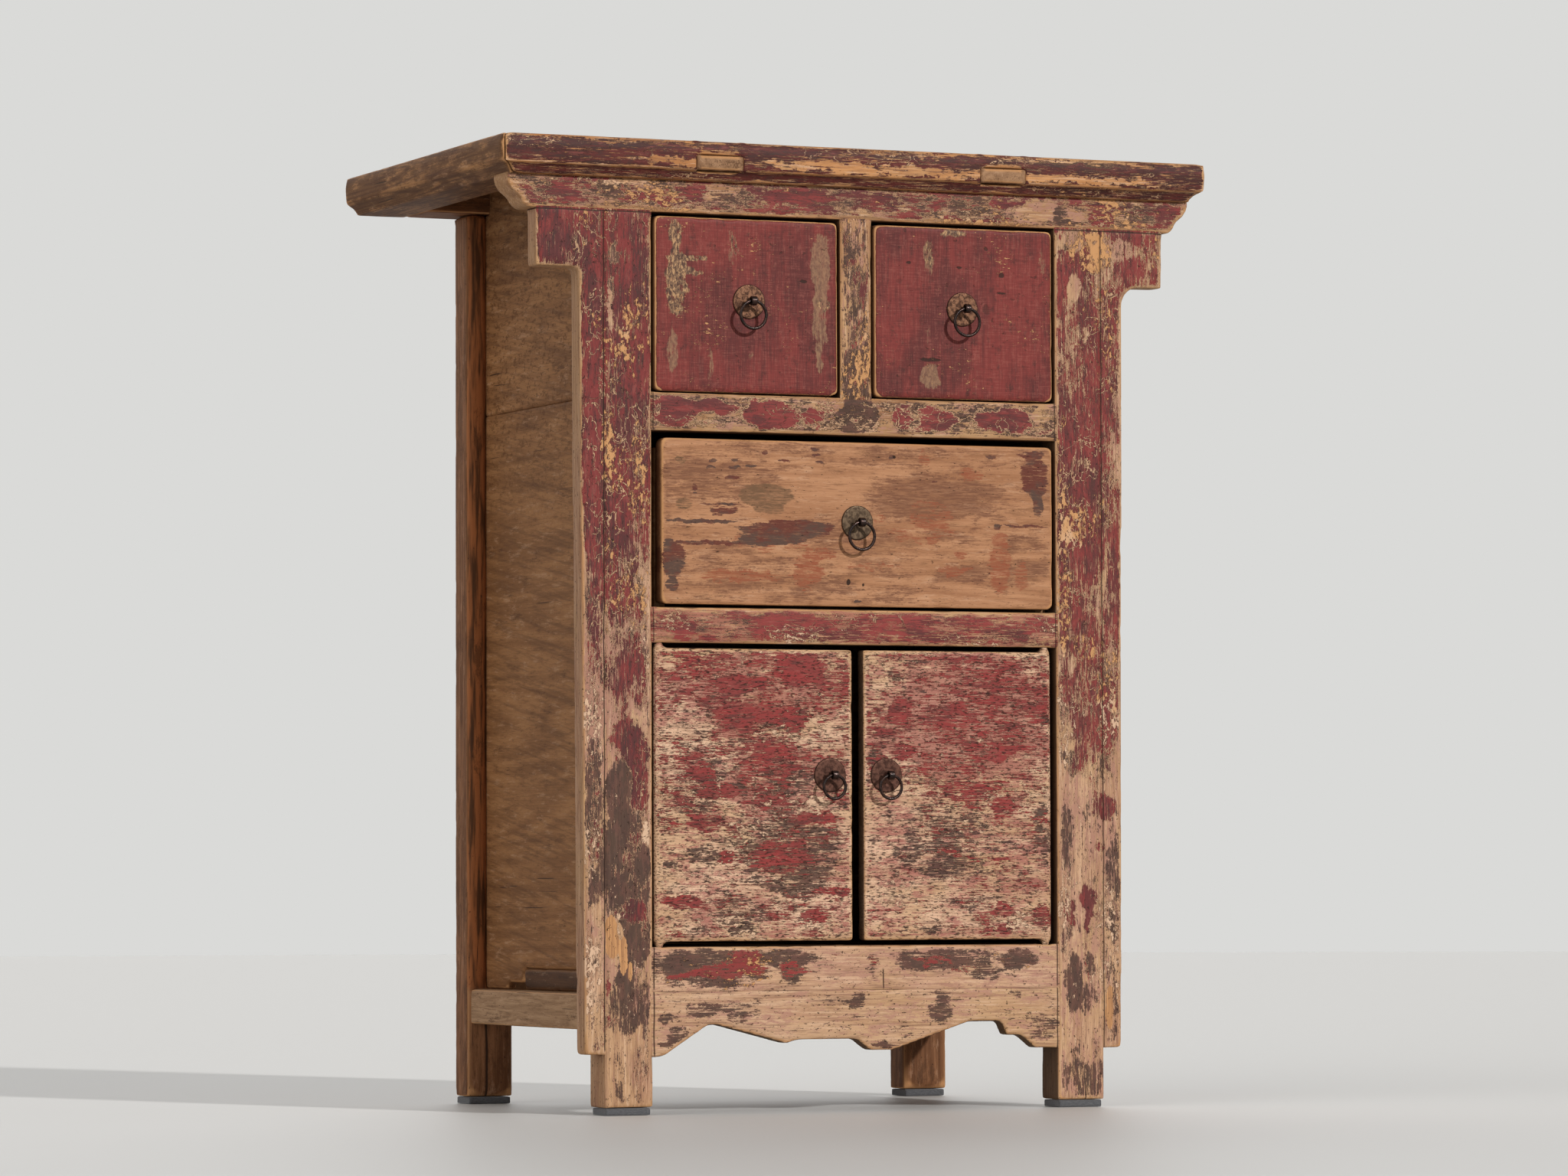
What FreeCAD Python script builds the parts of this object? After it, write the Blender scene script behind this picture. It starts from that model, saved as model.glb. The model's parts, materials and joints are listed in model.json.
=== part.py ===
import FreeCAD, Part
import Sketcher
import math
import os
from types import SimpleNamespace

# A small painted cabinet: two small drawers over a wide drawer over a pair of doors, in a post and rail
# frame with shaped wings and a moulded top. Millimetres. X runs to the right, Y to the back, Z up.
# The origin is on the floor, under the middle of the top.

LEFT, RIGHT = -1, 1

# Driving dimensions
SIZES = {
    # heights of the front, from the floor up
    "pad_height": 8.0,
    "leg_height": 127.0,
    "bottom_rail_height": 45.0,
    "door_opening_height": 311.0,
    "lower_rail_height": 37.5,
    "wide_opening_height": 180.5,
    "upper_rail_height": 40.0,
    "small_opening_height": 185.0,
    "frieze_height": 33.5,
    "top_thickness": 40.5,
    # widths and depths of the frame
    "opening_width": 460.0,
    "post_width": 54.0,
    "post_depth": 43.0,
    "rear_post_width": 52.0,
    "rear_post_depth": 43.0,
    "carcass_depth": 433.0,
    "rail_depth": 30.0,
    "divider_width": 36.0,
    "pad_margin": 2.0,
    # joinery
    "tenon_length": 25.0,
    "tenon_thickness": 12.0,
    "tenon_shoulder": 5.0,
    "stub_length": 10.0,
    "groove_depth": 8.0,
    # top
    "top_front_overhang": 20.0,
    "top_rear_overhang": 22.0,
    "top_side_overhang": 118.0,
    "top_frame_width": 70.0,
    "arris_setback": 3.0,
    "arris_drop": 12.0,
    "step_height": 10.5,
    "fascia_setback": 1.0,
    "step_setback": 3.0,
    "cove_setback": 14.0,
    "top_panel_thickness": 12.0,
    "top_tongue_thickness": 5.0,
    "batten_width": 52.0,
    "batten_thickness": 18.0,
    "batten_tenon_thickness": 15.5,
    "batten_spacing": 323.0,
    # lobed ends of the frieze
    "frieze_overhang": 6.0,
    "lower_lobe_reach": 10.0,
    "lower_lobe_height": 8.0,
    "lobe_notch_height": 4.0,
    "upper_lobe_reach": 16.0,
    "frieze_edge_height": 2.0,
    # wings
    "wing_thickness": 28.0,
    "wing_width": 26.5,
    "wing_foot_inset": 5.0,
    "wing_foot_height": 62.0,
    "wing_head_width": 74.0,
    "wing_head_height": 59.0,
    "left_wing_corner": 5.0,
    "right_wing_corner": 20.0,
    "wing_tongue_thickness": 10.0,
    # apron: its drop, and how far its scallops rise above its lowest line
    "apron_thickness": 22.0,
    "apron_drop": 68.0,
    "left_peak_rise": 32.0,
    "valley_rise": 12.0,
    "flat_rise": 16.0,
    "dip_rise": 4.0,
    "right_peak_rise": 32.0,
    "ledge_rise": 17.5,
    # the scallops' places, from the left post
    "left_foot_length": 11.0,
    "left_peak_start": 61.0,
    "left_peak_length": 11.0,
    # from the middle
    "valley_offset": 81.0,
    "flat_offset": 68.0,
    "flat_length": 66.0,
    "dip_offset": 13.0,
    "dip_length": 27.0,
    # and from the right post
    "right_foot_length": 26.0,
    "ledge_start": 43.0,
    "ledge_length": 17.0,
    "right_peak_start": 65.0,
    "right_peak_length": 38.0,
    # sides, back and floor
    "side_recess": 22.0,
    "side_board_thickness": 12.0,
    "side_rail_lowering": 3.0,
    "side_rail_height": 38.0,
    "side_rail_thickness": 34.0,
    "side_rail_inset": 2.0,
    "patch_start": 54.0,
    "patch_length": 186.0,
    "patch_height": 23.0,
    "patch_depth": 8.0,
    "patch_gap_length": 48.0,
    "patch_gap_height": 7.0,
    "rear_rail_depth": 26.0,
    "rear_rail_inset": 8.0,
    "rear_rail_drop": 22.0,
    "rear_top_rail_height": 40.0,
    "back_board_thickness": 12.0,
    "floor_thickness": 14.0,
    "floor_tongue_thickness": 6.0,
    # drawer runners and guides
    "runner_width": 45.0,
    "runner_thickness": 20.0,
    "centre_runner_width": 60.0,
    "guide_height": 25.0,
    # drawers
    "drawer_back_gap": 25.0,
    "drawer_front_thickness": 20.0,
    "drawer_corner": 6.0,
    "drawer_wall_thickness": 12.0,
    "drawer_bottom_thickness": 8.0,
    "drawer_bottom_lift": 8.0,
    "drawer_side_drop": 10.0,
    "drawer_tongue": 6.0,
    "drawer_groove": 5.0,
    "small_side_gap": 2.6,
    "small_bottom_gap": 1.0,
    "small_top_gap": 2.8,
    "wide_left_gap": 9.4,
    "wide_right_gap": 3.4,
    "wide_bottom_gap": 2.5,
    "wide_top_gap": 6.3,
    # doors
    "door_thickness": 18.0,
    "left_door_edge_gap": 1.2,
    "left_door_middle_gap": 5.2,
    "right_door_edge_gap": 5.0,
    "right_door_middle_gap": 6.8,
    "door_end_gap": 4.5,
    "pivot_inset": 7.0,
    "pivot_radius": 4.5,
    "pivot_depth": 12.0,
    "pivot_clearance": 0.05,
    "pivot_end_clearance": 0.5,
    "door_batten_width": 30.0,
    "door_batten_thickness": 12.0,
    "door_batten_margin": 24.0,
    # pulls
    "plate_radius": 18.2,
    "plate_thickness": 1.5,
    "pin_radius": 2.0,
    "pin_clearance": 0.05,
    "pin_leg_reach": 12.0,
    "pin_leg_thickness": 2.0,
    "eye_width": 6.5,
    "eye_wall": 2.2,
    "eye_clearance": 0.9,
    "drawer_ring_radius": 14.3,
    "door_ring_radius": 12.2,
    "ring_wire_radius": 1.8,
    "ring_standoff": 12.5,
    "small_pull_height": 96.0,
    "small_pull_offset": 122.0,
    "wide_pull_height": 90.0,
    "door_pull_height": 176.0,
    "door_pull_offset": 32.0,
}

BACK_BOARD_COUNT = 4

# How round the arcs of the mouldings are, as a share of the sum of their two legs
LOBE_ROUNDNESS = 0.7
COVE_ROUNDNESS = 0.8
NOSE_ROUNDNESS = 1.75

# How close two points are to count as one
SAME_POINT = 1e-6

doc = FreeCAD.newDocument("cabinet")
sheet = doc.addObject("Spreadsheet::Sheet", "Sizes")


class Size:
    """A length with the sheet formula that gives it."""

    def __init__(self, text, value):
        self.text = text
        self.value = value

    def __add__(self, other):
        other = as_size(other)
        return Size(f"({self.text} + {other.text})", self.value + other.value)

    def __sub__(self, other):
        other = as_size(other)
        return Size(f"({self.text} - {other.text})", self.value - other.value)

    def __mul__(self, number):
        return Size(f"({self.text} * {number})", self.value * number)

    def __truediv__(self, number):
        return Size(f"({self.text} / {number})", self.value / number)

    def __neg__(self):
        return self * -1


def as_size(value):
    return value if isinstance(value, Size) else Size(repr(float(value)), float(value))


def fill_sheet():
    names = SimpleNamespace()
    for row, (name, value) in enumerate(SIZES.items(), 1):
        sheet.set(f"A{row}", name.replace("_", " "))
        sheet.set(f"B{row}", str(value))
        sheet.setAlias(f"B{row}", name)
        setattr(names, name, Size(f"Sizes.{name}", value))
    doc.recompute()
    return names


s = fill_sheet()
middle = as_size(0)
nodes = []


# Building blocks

def node(thing):
    """Marks a finished sub-part."""
    nodes.append(thing)
    return thing


def bind(thing, prop, size):
    thing.setExpression(prop, as_size(size).text)


def place(thing, corner, turn=None):
    thing.Placement = FreeCAD.Placement(FreeCAD.Vector(), turn or FreeCAD.Rotation())
    for axis, size in zip("xyz", corner):
        bind(thing, f"Placement.Base.{axis}", size)


def box(name, low, high):
    """A box between two corners."""
    solid = doc.addObject("Part::Box", name)
    for prop, first, last in zip(("Length", "Width", "Height"), low, high):
        bind(solid, prop, last - first)
    place(solid, low)
    return solid


def upright(name, radius, foot, length, turn=None):
    """A cylinder that stands on foot, unless it is turned."""
    solid = doc.addObject("Part::Cylinder", name)
    bind(solid, "Radius", radius)
    bind(solid, "Height", length)
    place(solid, foot, turn)
    return solid


def rod_back(name, radius, start, length):
    """A cylinder that runs to the back from start."""
    return upright(name, radius, start, length, FreeCAD.Rotation(FreeCAD.Vector(1, 0, 0), -90))


def rod_across(name, radius, start, length):
    """A cylinder that runs to the right from start."""
    return upright(name, radius, start, length, FreeCAD.Rotation(FreeCAD.Vector(0, 1, 0), 90))


def torus(name, radius, wire, centre, turn):
    solid = doc.addObject("Part::Torus", name)
    bind(solid, "Radius1", radius)
    bind(solid, "Radius2", wire)
    place(solid, centre, turn)
    return solid


def fuse(name, *solids):
    joined = doc.addObject("Part::MultiFuse", name)
    joined.Shapes = list(solids)
    joined.Refine = True
    return joined


def cut(name, base, *tools):
    result = doc.addObject("Part::Cut", name)
    result.Base = base
    result.Tool = tools[0] if len(tools) == 1 else fuse(f"{name}_tools", *tools)
    result.Refine = True
    return result


def group(name, *solids):
    """Separate solids under one name."""
    parts = doc.addObject("Part::Compound", name)
    parts.Links = list(solids)
    return parts


def across(side, inner, outer):
    """The lower and upper X of a span on one side of the middle."""
    return (inner, outer) if side == RIGHT else (-outer, -inner)


def mirrored(side, points):
    """Outline points drawn for the right side, turned over for the left."""
    if side == RIGHT:
        return points
    return [(-point[0], point[1], *(-radius for radius in point[2:])) for point in points]


def arc_middle(start, end, radius):
    """The middle of an arc; a positive radius bulges to the right of the way from start to end."""
    chord = end - start
    half = chord.Length / 2
    rise = abs(radius) - math.sqrt(radius * radius - half * half)
    right = FreeCAD.Vector(chord.y, -chord.x, 0).normalize()
    return (start + end) / 2 + right * math.copysign(rise, radius)


def draw_edges(sketch, spots, points):
    """Draws the outline's lines and arcs, and gives each edge with the ends where it starts and stops."""
    edges = []
    for index, point in enumerate(points):
        start, end = spots[index], spots[(index + 1) % len(spots)]
        if len(point) == 3:
            curve = Part.ArcOfCircle(start, arc_middle(start, end, point[2].value), end)
        else:
            curve = Part.LineSegment(start, end)
        edge = sketch.addGeometry(curve, False)
        forward = sketch.getPoint(edge, 1).isEqual(start, SAME_POINT)
        edges.append((edge, 1, 2) if forward else (edge, 2, 1))
    return edges


def outline(name, plane, points, depth, corner, backwards=False):
    """A body padded from a closed outline.

    A point is (across, up), or (across, up, radius) where an arc runs from it to the next point.
    """
    body = doc.addObject("PartDesign::Body", name)
    sketch = body.newObject("Sketcher::SketchObject", f"{name}_outline")
    support = next(item for item in body.Origin.OriginFeatures if item.Role == plane)
    sketch.AttachmentSupport = [(support, "")]
    sketch.MapMode = "FlatFace"
    spots = [FreeCAD.Vector(point[0].value, point[1].value, 0) for point in points]
    edges = draw_edges(sketch, spots, points)
    for (edge, _, stop), (following, start, _) in zip(edges, edges[1:] + edges[:1]):
        sketch.addConstraint(Sketcher.Constraint("Coincident", edge, stop, following, start))
    for (edge, start, _), spot, point in zip(edges, spots, points):
        for kind, number, size in zip(("DistanceX", "DistanceY"), (spot.x, spot.y), point):
            mark = sketch.addConstraint(Sketcher.Constraint(kind, -1, 1, edge, start, number))
            bind(sketch, f"Constraints[{mark}]", size)
        for bulge in point[2:]:
            mark = sketch.addConstraint(Sketcher.Constraint("Radius", edge, abs(bulge.value)))
            bind(sketch, f"Constraints[{mark}]", bulge if bulge.value > 0 else -bulge)
    pad = body.newObject("PartDesign::Pad", f"{name}_pad")
    pad.Profile = sketch
    bind(pad, "Length", depth)
    pad.Reversed = backwards
    place(body, corner)
    return body


# Levels, from the floor up
bottom_rail_low = s.leg_height
bottom_rail_top = bottom_rail_low + s.bottom_rail_height
lower_rail_low = bottom_rail_top + s.door_opening_height
lower_rail_top = lower_rail_low + s.lower_rail_height
upper_rail_low = lower_rail_top + s.wide_opening_height
upper_rail_top = upper_rail_low + s.upper_rail_height
frieze_low = upper_rail_top + s.small_opening_height
top_low = frieze_low + s.frieze_height
top_high = top_low + s.top_thickness
top_panel_low = top_high - s.top_panel_thickness

# Half widths
opening_half = s.opening_width / 2
post_outer = opening_half + s.post_width
rear_post_inner = post_outer - s.rear_post_width
side_board_outer = post_outer - s.side_recess
side_board_inner = side_board_outer - s.side_board_thickness
top_half = post_outer + s.top_side_overhang
top_inner_half = top_half - s.top_frame_width
divider_half = s.divider_width / 2

# Depths: the front is the plane of the posts' front faces
top_depth = s.top_front_overhang + s.carcass_depth + s.top_rear_overhang
top_front = -top_depth / 2
top_back = top_depth / 2
front = top_front + s.top_front_overhang
rail_back = front + s.rail_depth
post_back = front + s.post_depth
carcass_back = front + s.carcass_depth
rear_post_front = carcass_back - s.rear_post_depth
rear_rail_front = rear_post_front + s.rear_rail_inset
rear_rail_back = rear_rail_front + s.rear_rail_depth
back_board_front = rear_rail_front + (s.rear_rail_depth - s.back_board_thickness) / 2
back_board_back = back_board_front + s.back_board_thickness
top_opening_front = top_front + s.top_frame_width
top_opening_back = top_back - s.top_frame_width
tenon_front = front + (s.rail_depth - s.tenon_thickness) / 2
tenon_back = tenon_front + s.tenon_thickness


# Posts and pads, as blanks first: what is let into them is cut out later

def post_blank(name, side, inner, front_face, back_face, top):
    low_x, high_x = across(side, inner, post_outer)
    return box(f"{name}_blank", (low_x, front_face, s.pad_height), (high_x, back_face, top))


def foot_pad(name, side, inner, front_face, back_face):
    low_x, high_x = across(side, inner + s.pad_margin, post_outer - s.pad_margin)
    return box(name, (low_x, front_face + s.pad_margin, middle),
               (high_x, back_face - s.pad_margin, s.pad_height))


front_blanks = {}
rear_blanks = {}
pads = []
for side, word in ((LEFT, "left"), (RIGHT, "right")):
    front_blanks[side] = post_blank(f"front_{word}_post", side, opening_half, front, post_back, frieze_low)
    rear_blanks[side] = post_blank(f"rear_{word}_post", side, rear_post_inner, rear_post_front, carcass_back,
                                   top_low)
    pads.append(foot_pad(f"front_{word}_pad", side, opening_half, front, post_back))
    pads.append(foot_pad(f"rear_{word}_pad", side, rear_post_inner, rear_post_front, carcass_back))
node(group("foot_pads", *pads))
post_blanks = list(front_blanks.values()) + list(rear_blanks.values())

# What each post is cut by
front_cuts = {LEFT: [], RIGHT: []}
rear_cuts = {LEFT: [], RIGHT: []}
frieze_cuts = []


# Front rails, tenoned into the posts

def end_tenons(name, half, reach, front_face, back_face, low, high, cuts):
    """A pair of tenons at the ends of a cross rail, each noted for the post that it enters."""
    tenons = []
    for side, word in ((LEFT, "left"), (RIGHT, "right")):
        low_x, high_x = across(side, half, half + reach)
        tenon = box(f"{name}_{word}_tenon", (low_x, front_face, low), (high_x, back_face, high))
        cuts[side].append(tenon)
        tenons.append(tenon)
    return tenons


def front_rail(name, low, high, cuts=()):
    blank = box(f"{name}_blank", (-opening_half, front, low), (opening_half, rail_back, high))
    tenons = end_tenons(name, opening_half, s.tenon_length, tenon_front, tenon_back,
                        low + s.tenon_shoulder, high - s.tenon_shoulder, front_cuts)
    if not cuts:
        return node(fuse(name, blank, *tenons))
    return node(cut(name, fuse(f"{name}_tenoned", blank, *tenons), *cuts))


# Door pivots and their sockets
door_edges = {
    LEFT: (s.left_door_edge_gap, s.left_door_middle_gap),
    RIGHT: (s.right_door_edge_gap, s.right_door_middle_gap),
}
pivot_y = front + s.pivot_inset
pivots = {}
sockets = []
for side, word in ((LEFT, "left"), (RIGHT, "right")):
    pivot_x = (opening_half - door_edges[side][0] - s.pivot_inset) * side
    pivots[side] = upright(f"{word}_pivot", s.pivot_radius,
                           (pivot_x, pivot_y, bottom_rail_top - s.pivot_depth),
                           s.door_opening_height + s.pivot_depth * 2)
    socket_depth = s.pivot_depth + s.pivot_end_clearance
    sockets.append(upright(f"{word}_socket", s.pivot_radius + s.pivot_clearance,
                           (pivot_x, pivot_y, bottom_rail_top - socket_depth),
                           s.door_opening_height + socket_depth * 2))

# Divider between the small drawers, with a stub tenon at each end
divider_blank = box("divider_blank", (-divider_half, front, upper_rail_top),
                    (divider_half, rail_back, frieze_low))
divider_stub = box("divider_stub",
                   (s.tenon_shoulder - divider_half, tenon_front, upper_rail_top - s.stub_length),
                   (divider_half - s.tenon_shoulder, tenon_back, frieze_low + s.stub_length))
node(fuse("drawer_divider", divider_blank, divider_stub))
frieze_cuts.append(divider_stub)

# Cabinet floor, notched around the posts, with a tongue into the rails at its front and back; at the back it
# stops short of the groove for the back boards
floor_low = bottom_rail_top - s.floor_thickness
floor_tongue_low = floor_low + (s.floor_thickness - s.floor_tongue_thickness) / 2
floor_blank = box("floor_blank", (-side_board_inner, rail_back, floor_low),
                  (side_board_inner, rear_rail_front, bottom_rail_top))
floor_tongue = box("floor_tongue",
                   (s.tenon_shoulder - opening_half, rail_back - s.groove_depth, floor_tongue_low),
                   (opening_half - s.tenon_shoulder, rear_rail_front + s.groove_depth / 2,
                    floor_tongue_low + s.floor_tongue_thickness))
node(fuse("cabinet_floor", cut("floor_notched", floor_blank, *post_blanks), floor_tongue))

front_rail("upper_mid_rail", upper_rail_low, upper_rail_top, [divider_stub])
front_rail("lower_mid_rail", lower_rail_low, lower_rail_top, sockets)
front_rail("bottom_rail", bottom_rail_low, bottom_rail_top, [*sockets, floor_tongue])

# Apron: a worn, uneven scalloped edge, from the left foot to the right one
apron_low = bottom_rail_low - s.apron_drop


def level_run(x, length, rise=middle):
    """The two ends of a level stretch of the lower edge."""
    return [(x, apron_low + rise), (x + length, apron_low + rise)]


apron_outline = [
    *level_run(-opening_half, s.left_foot_length),
    *level_run(s.left_peak_start - opening_half, s.left_peak_length, s.left_peak_rise),
    (-s.valley_offset, apron_low + s.valley_rise),
    *level_run(-s.flat_offset, s.flat_length, s.flat_rise),
    *level_run(s.dip_offset, s.dip_length, s.dip_rise),
    *level_run(opening_half - s.right_peak_start - s.right_peak_length, s.right_peak_length,
               s.right_peak_rise),
    *level_run(opening_half - s.ledge_start - s.ledge_length, s.ledge_length, s.ledge_rise),
    *level_run(opening_half - s.right_foot_length, s.right_foot_length, s.dip_rise),
    (opening_half, bottom_rail_low),
    (-opening_half, bottom_rail_low),
]
apron_board = outline("apron_board", "XZ_Plane", apron_outline, s.apron_thickness,
                      (middle, front, middle), True)
apron_tenon_front = front + (s.apron_thickness - s.tenon_thickness) / 2
apron_tenons = end_tenons("apron", opening_half, s.stub_length, apron_tenon_front,
                          apron_tenon_front + s.tenon_thickness, bottom_rail_low - s.apron_drop / 2,
                          bottom_rail_low - s.tenon_shoulder, front_cuts)
node(fuse("apron", apron_board, *apron_tenons))


# Wings, tongued into the outer faces of the front posts

def wing(name, side, corner):
    wing_edge = post_outer + s.wing_width
    head_low = frieze_low - s.wing_head_height
    points = [
        (post_outer, s.wing_foot_height),
        (wing_edge - s.wing_foot_inset, s.wing_foot_height),
        (wing_edge, head_low - corner, -corner),
        (wing_edge + corner, head_low),
        (post_outer + s.wing_head_width, head_low),
        (post_outer + s.wing_head_width, frieze_low),
        (post_outer, frieze_low),
    ]
    board = outline(f"{name}_board", "XZ_Plane", mirrored(side, points), s.wing_thickness,
                    (middle, front, middle), True)
    low_x, high_x = across(side, post_outer - s.groove_depth, post_outer)
    tongue_front = front + (s.wing_thickness - s.wing_tongue_thickness) / 2
    tongue = box(f"{name}_tongue", (low_x, tongue_front, s.wing_foot_height),
                 (high_x, tongue_front + s.wing_tongue_thickness, frieze_low - s.tenon_shoulder))
    front_cuts[side].append(tongue)
    node(fuse(name, board, tongue))


wing("left_wing", LEFT, s.left_wing_corner)
wing("right_wing", RIGHT, s.right_wing_corner)

# Sides: a lower rail, two boards in grooves over it, and an upper rail behind the boards
side_rail_top = s.leg_height - s.side_rail_lowering
side_rail_low = side_rail_top - s.side_rail_height
side_board_front = post_back - s.groove_depth
side_board_back = rear_post_front + s.groove_depth
side_board_joint = upper_rail_top
patch_front = post_back + s.patch_start
patch_back = patch_front + s.patch_length


def lower_side_rail(name, side):
    outer = post_outer - s.side_rail_inset
    low_x, high_x = across(side, outer - s.side_rail_thickness, outer)
    blank = box(f"{name}_blank", (low_x, post_back, side_rail_low),
                (high_x, rear_post_front, side_rail_top))
    centre = outer - s.side_rail_thickness / 2
    low_x, high_x = across(side, centre - s.tenon_thickness / 2, centre + s.tenon_thickness / 2)
    tenon = box(f"{name}_tenon",
                (low_x, post_back - s.tenon_length, side_rail_low + s.tenon_shoulder),
                (high_x, rear_post_front + s.tenon_length, side_rail_top - s.tenon_shoulder))
    front_cuts[side].append(tenon)
    rear_cuts[side].append(tenon)
    return fuse(name, blank, tenon)


def upper_side_rail(name, side):
    low_x, high_x = across(side, opening_half, side_board_inner)
    blank = box(f"{name}_blank", (low_x, post_back, frieze_low), (high_x, rear_post_front, top_low))
    inset = s.tenon_shoulder / 2
    low_x, high_x = across(side, rear_post_inner + inset, side_board_inner - inset)
    stub = box(f"{name}_stub",
               (low_x, post_back - s.stub_length, frieze_low + s.tenon_shoulder),
               (high_x, rear_post_front + s.stub_length, top_low - s.tenon_shoulder))
    frieze_cuts.append(stub)
    rear_cuts[side].append(stub)
    return fuse(name, blank, stub)


def side_boards(name, side):
    low_x, high_x = across(side, side_board_inner, side_board_outer)
    lower = box(f"{name}_lower", (low_x, side_board_front, side_rail_top),
                (high_x, side_board_back, side_board_joint))
    upper = box(f"{name}_upper", (low_x, side_board_front, side_board_joint),
                (high_x, side_board_back, top_low))
    head = box(f"{name}_head", (low_x, top_opening_front, top_low),
               (high_x, top_opening_back, top_panel_low))
    for cuts in (front_cuts[side], rear_cuts[side]):
        cuts.extend((lower, upper))
    frieze_cuts.append(upper)
    return lower, fuse(f"{name}_upper_board", upper, head)


node(group("lower_side_rails", lower_side_rail("left_lower_rail", LEFT),
           lower_side_rail("right_lower_rail", RIGHT)))
node(group("upper_side_rails", upper_side_rail("left_upper_rail", LEFT),
           upper_side_rail("right_upper_rail", RIGHT)))
node(group("right_side_boards", *side_boards("right_side", RIGHT)))

# The left side's lower board has a patch let into its lower edge, and a gap beside it where it broke away
left_lower, left_upper = side_boards("left_side", LEFT)
patch = node(box("left_side_patch", (-side_board_outer, patch_front, side_rail_top),
                 (s.patch_depth - side_board_outer, patch_back, side_rail_top + s.patch_height)))
patch_gap = box("patch_gap", (-side_board_outer, patch_back, side_rail_top),
                (-side_board_inner, patch_back + s.patch_gap_length, side_rail_top + s.patch_gap_height))
node(group("left_side_boards", cut("left_side_lower_board", left_lower, patch, patch_gap), left_upper))

# Back: two rails between the rear posts, and horizontal boards in grooves between them
rear_top_rail_low = top_low - s.rear_top_rail_height
back_low = bottom_rail_top - s.groove_depth
back_high = rear_top_rail_low + s.groove_depth
board_height = (back_high - back_low) / BACK_BOARD_COUNT
back_half = rear_post_inner + s.groove_depth
back_boards = []
for index in range(BACK_BOARD_COUNT):
    board_low = back_low + board_height * index
    back_boards.append(box(f"back_board_{index + 1}", (-back_half, back_board_front, board_low),
                           (back_half, back_board_back, board_low + board_height)))
node(group("back_boards", *back_boards))
for side in (LEFT, RIGHT):
    rear_cuts[side].extend(back_boards)


def rear_rail(name, low, high, *let_in):
    """A rail whose tenons keep clear of the grooves for the boards that are let into it."""
    blank = box(f"{name}_blank", (-rear_post_inner, rear_rail_front, low),
                (rear_post_inner, rear_rail_back, high))
    shoulder = s.groove_depth + s.tenon_shoulder
    tenons = end_tenons(name, rear_post_inner, s.tenon_length, back_board_front, back_board_back,
                        low + shoulder, high - shoulder, rear_cuts)
    return cut(name, fuse(f"{name}_tenoned", blank, *tenons), *let_in)


node(group("rear_rails",
           rear_rail("rear_bottom_rail", bottom_rail_low - s.rear_rail_drop, bottom_rail_top,
                     back_boards[0], floor_tongue),
           rear_rail("rear_top_rail", rear_top_rail_low, top_low, back_boards[-1])))


# Drawer runners level with the front rails' tops, and guides on them beside the drawers

def side_runner(name, side, top):
    low_x, high_x = across(side, side_board_inner - s.runner_width, side_board_inner)
    blank = box(f"{name}_blank", (low_x, rail_back, top - s.runner_thickness),
                (high_x, back_board_front, top))
    return cut(name, blank, front_blanks[side], rear_blanks[side])


def side_guide(name, side, low, gap):
    """A guide that closes this much of the gap beside its drawer."""
    low_x, high_x = across(side, opening_half - gap, side_board_inner)
    return box(name, (low_x, post_back, low), (high_x, rear_post_front, low + s.guide_height))


centre_half = s.centre_runner_width / 2
runners = [box("centre_runner", (-centre_half, rail_back, upper_rail_top - s.runner_thickness),
               (centre_half, back_board_front, upper_rail_top))]
guides = [box("centre_guide", (-divider_half, rail_back, upper_rail_top),
              (divider_half, back_board_front, upper_rail_top + s.guide_height))]
wide_gaps = {LEFT: s.wide_left_gap - s.wide_right_gap, RIGHT: middle}
for side, word in ((LEFT, "left"), (RIGHT, "right")):
    for level, top, gap in (("small", upper_rail_top, middle), ("wide", lower_rail_top, wide_gaps[side])):
        runners.append(side_runner(f"{level}_{word}_runner", side, top))
        guides.append(side_guide(f"{level}_{word}_guide", side, top, gap))
node(group("drawer_runners", *runners))
node(group("drawer_guides", *guides))


# Frieze with two-lobed ends, on the front posts' tenons

def frieze():
    foot = post_outer + s.wing_head_width + s.frieze_overhang
    waist = foot + s.lower_lobe_reach
    head = waist + s.upper_lobe_reach
    lower_lobe_top = frieze_low + s.lower_lobe_height
    notch_top = lower_lobe_top + s.lobe_notch_height
    edge_low = top_low - s.frieze_edge_height
    lower_round = (s.lower_lobe_reach + s.lower_lobe_height) * LOBE_ROUNDNESS
    upper_round = (s.upper_lobe_reach + (edge_low - notch_top)) * LOBE_ROUNDNESS
    points = [
        (foot, frieze_low, lower_round),
        (waist, lower_lobe_top),
        (waist, notch_top, upper_round),
        (head, edge_low),
        (head, top_low),
        (-head, top_low),
        (-head, edge_low, upper_round),
        (-waist, notch_top),
        (-waist, lower_lobe_top, lower_round),
        (-foot, frieze_low),
    ]
    return outline("frieze_board", "XZ_Plane", points, s.post_depth, (middle, front, middle), True)


def post_head_tenon(name, side):
    low_x, high_x = across(side, opening_half + s.tenon_shoulder, post_outer - s.tenon_shoulder)
    return box(name, (low_x, tenon_front, frieze_low), (high_x, tenon_back, frieze_low + s.tenon_length))


head_tenons = {
    LEFT: post_head_tenon("left_head_tenon", LEFT),
    RIGHT: post_head_tenon("right_head_tenon", RIGHT),
}
node(cut("frieze_rail", frieze(), *frieze_cuts, *head_tenons.values()))

for side, word in ((LEFT, "left"), (RIGHT, "right")):
    shaft = cut(f"front_{word}_shaft", front_blanks[side], *front_cuts[side])
    node(fuse(f"front_{word}_post", shaft, head_tenons[side]))
    node(cut(f"rear_{word}_post", rear_blanks[side], *rear_cuts[side]))


# Top: a moulded frame, mitred at the front corners, around a flush panel on two battens

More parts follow.
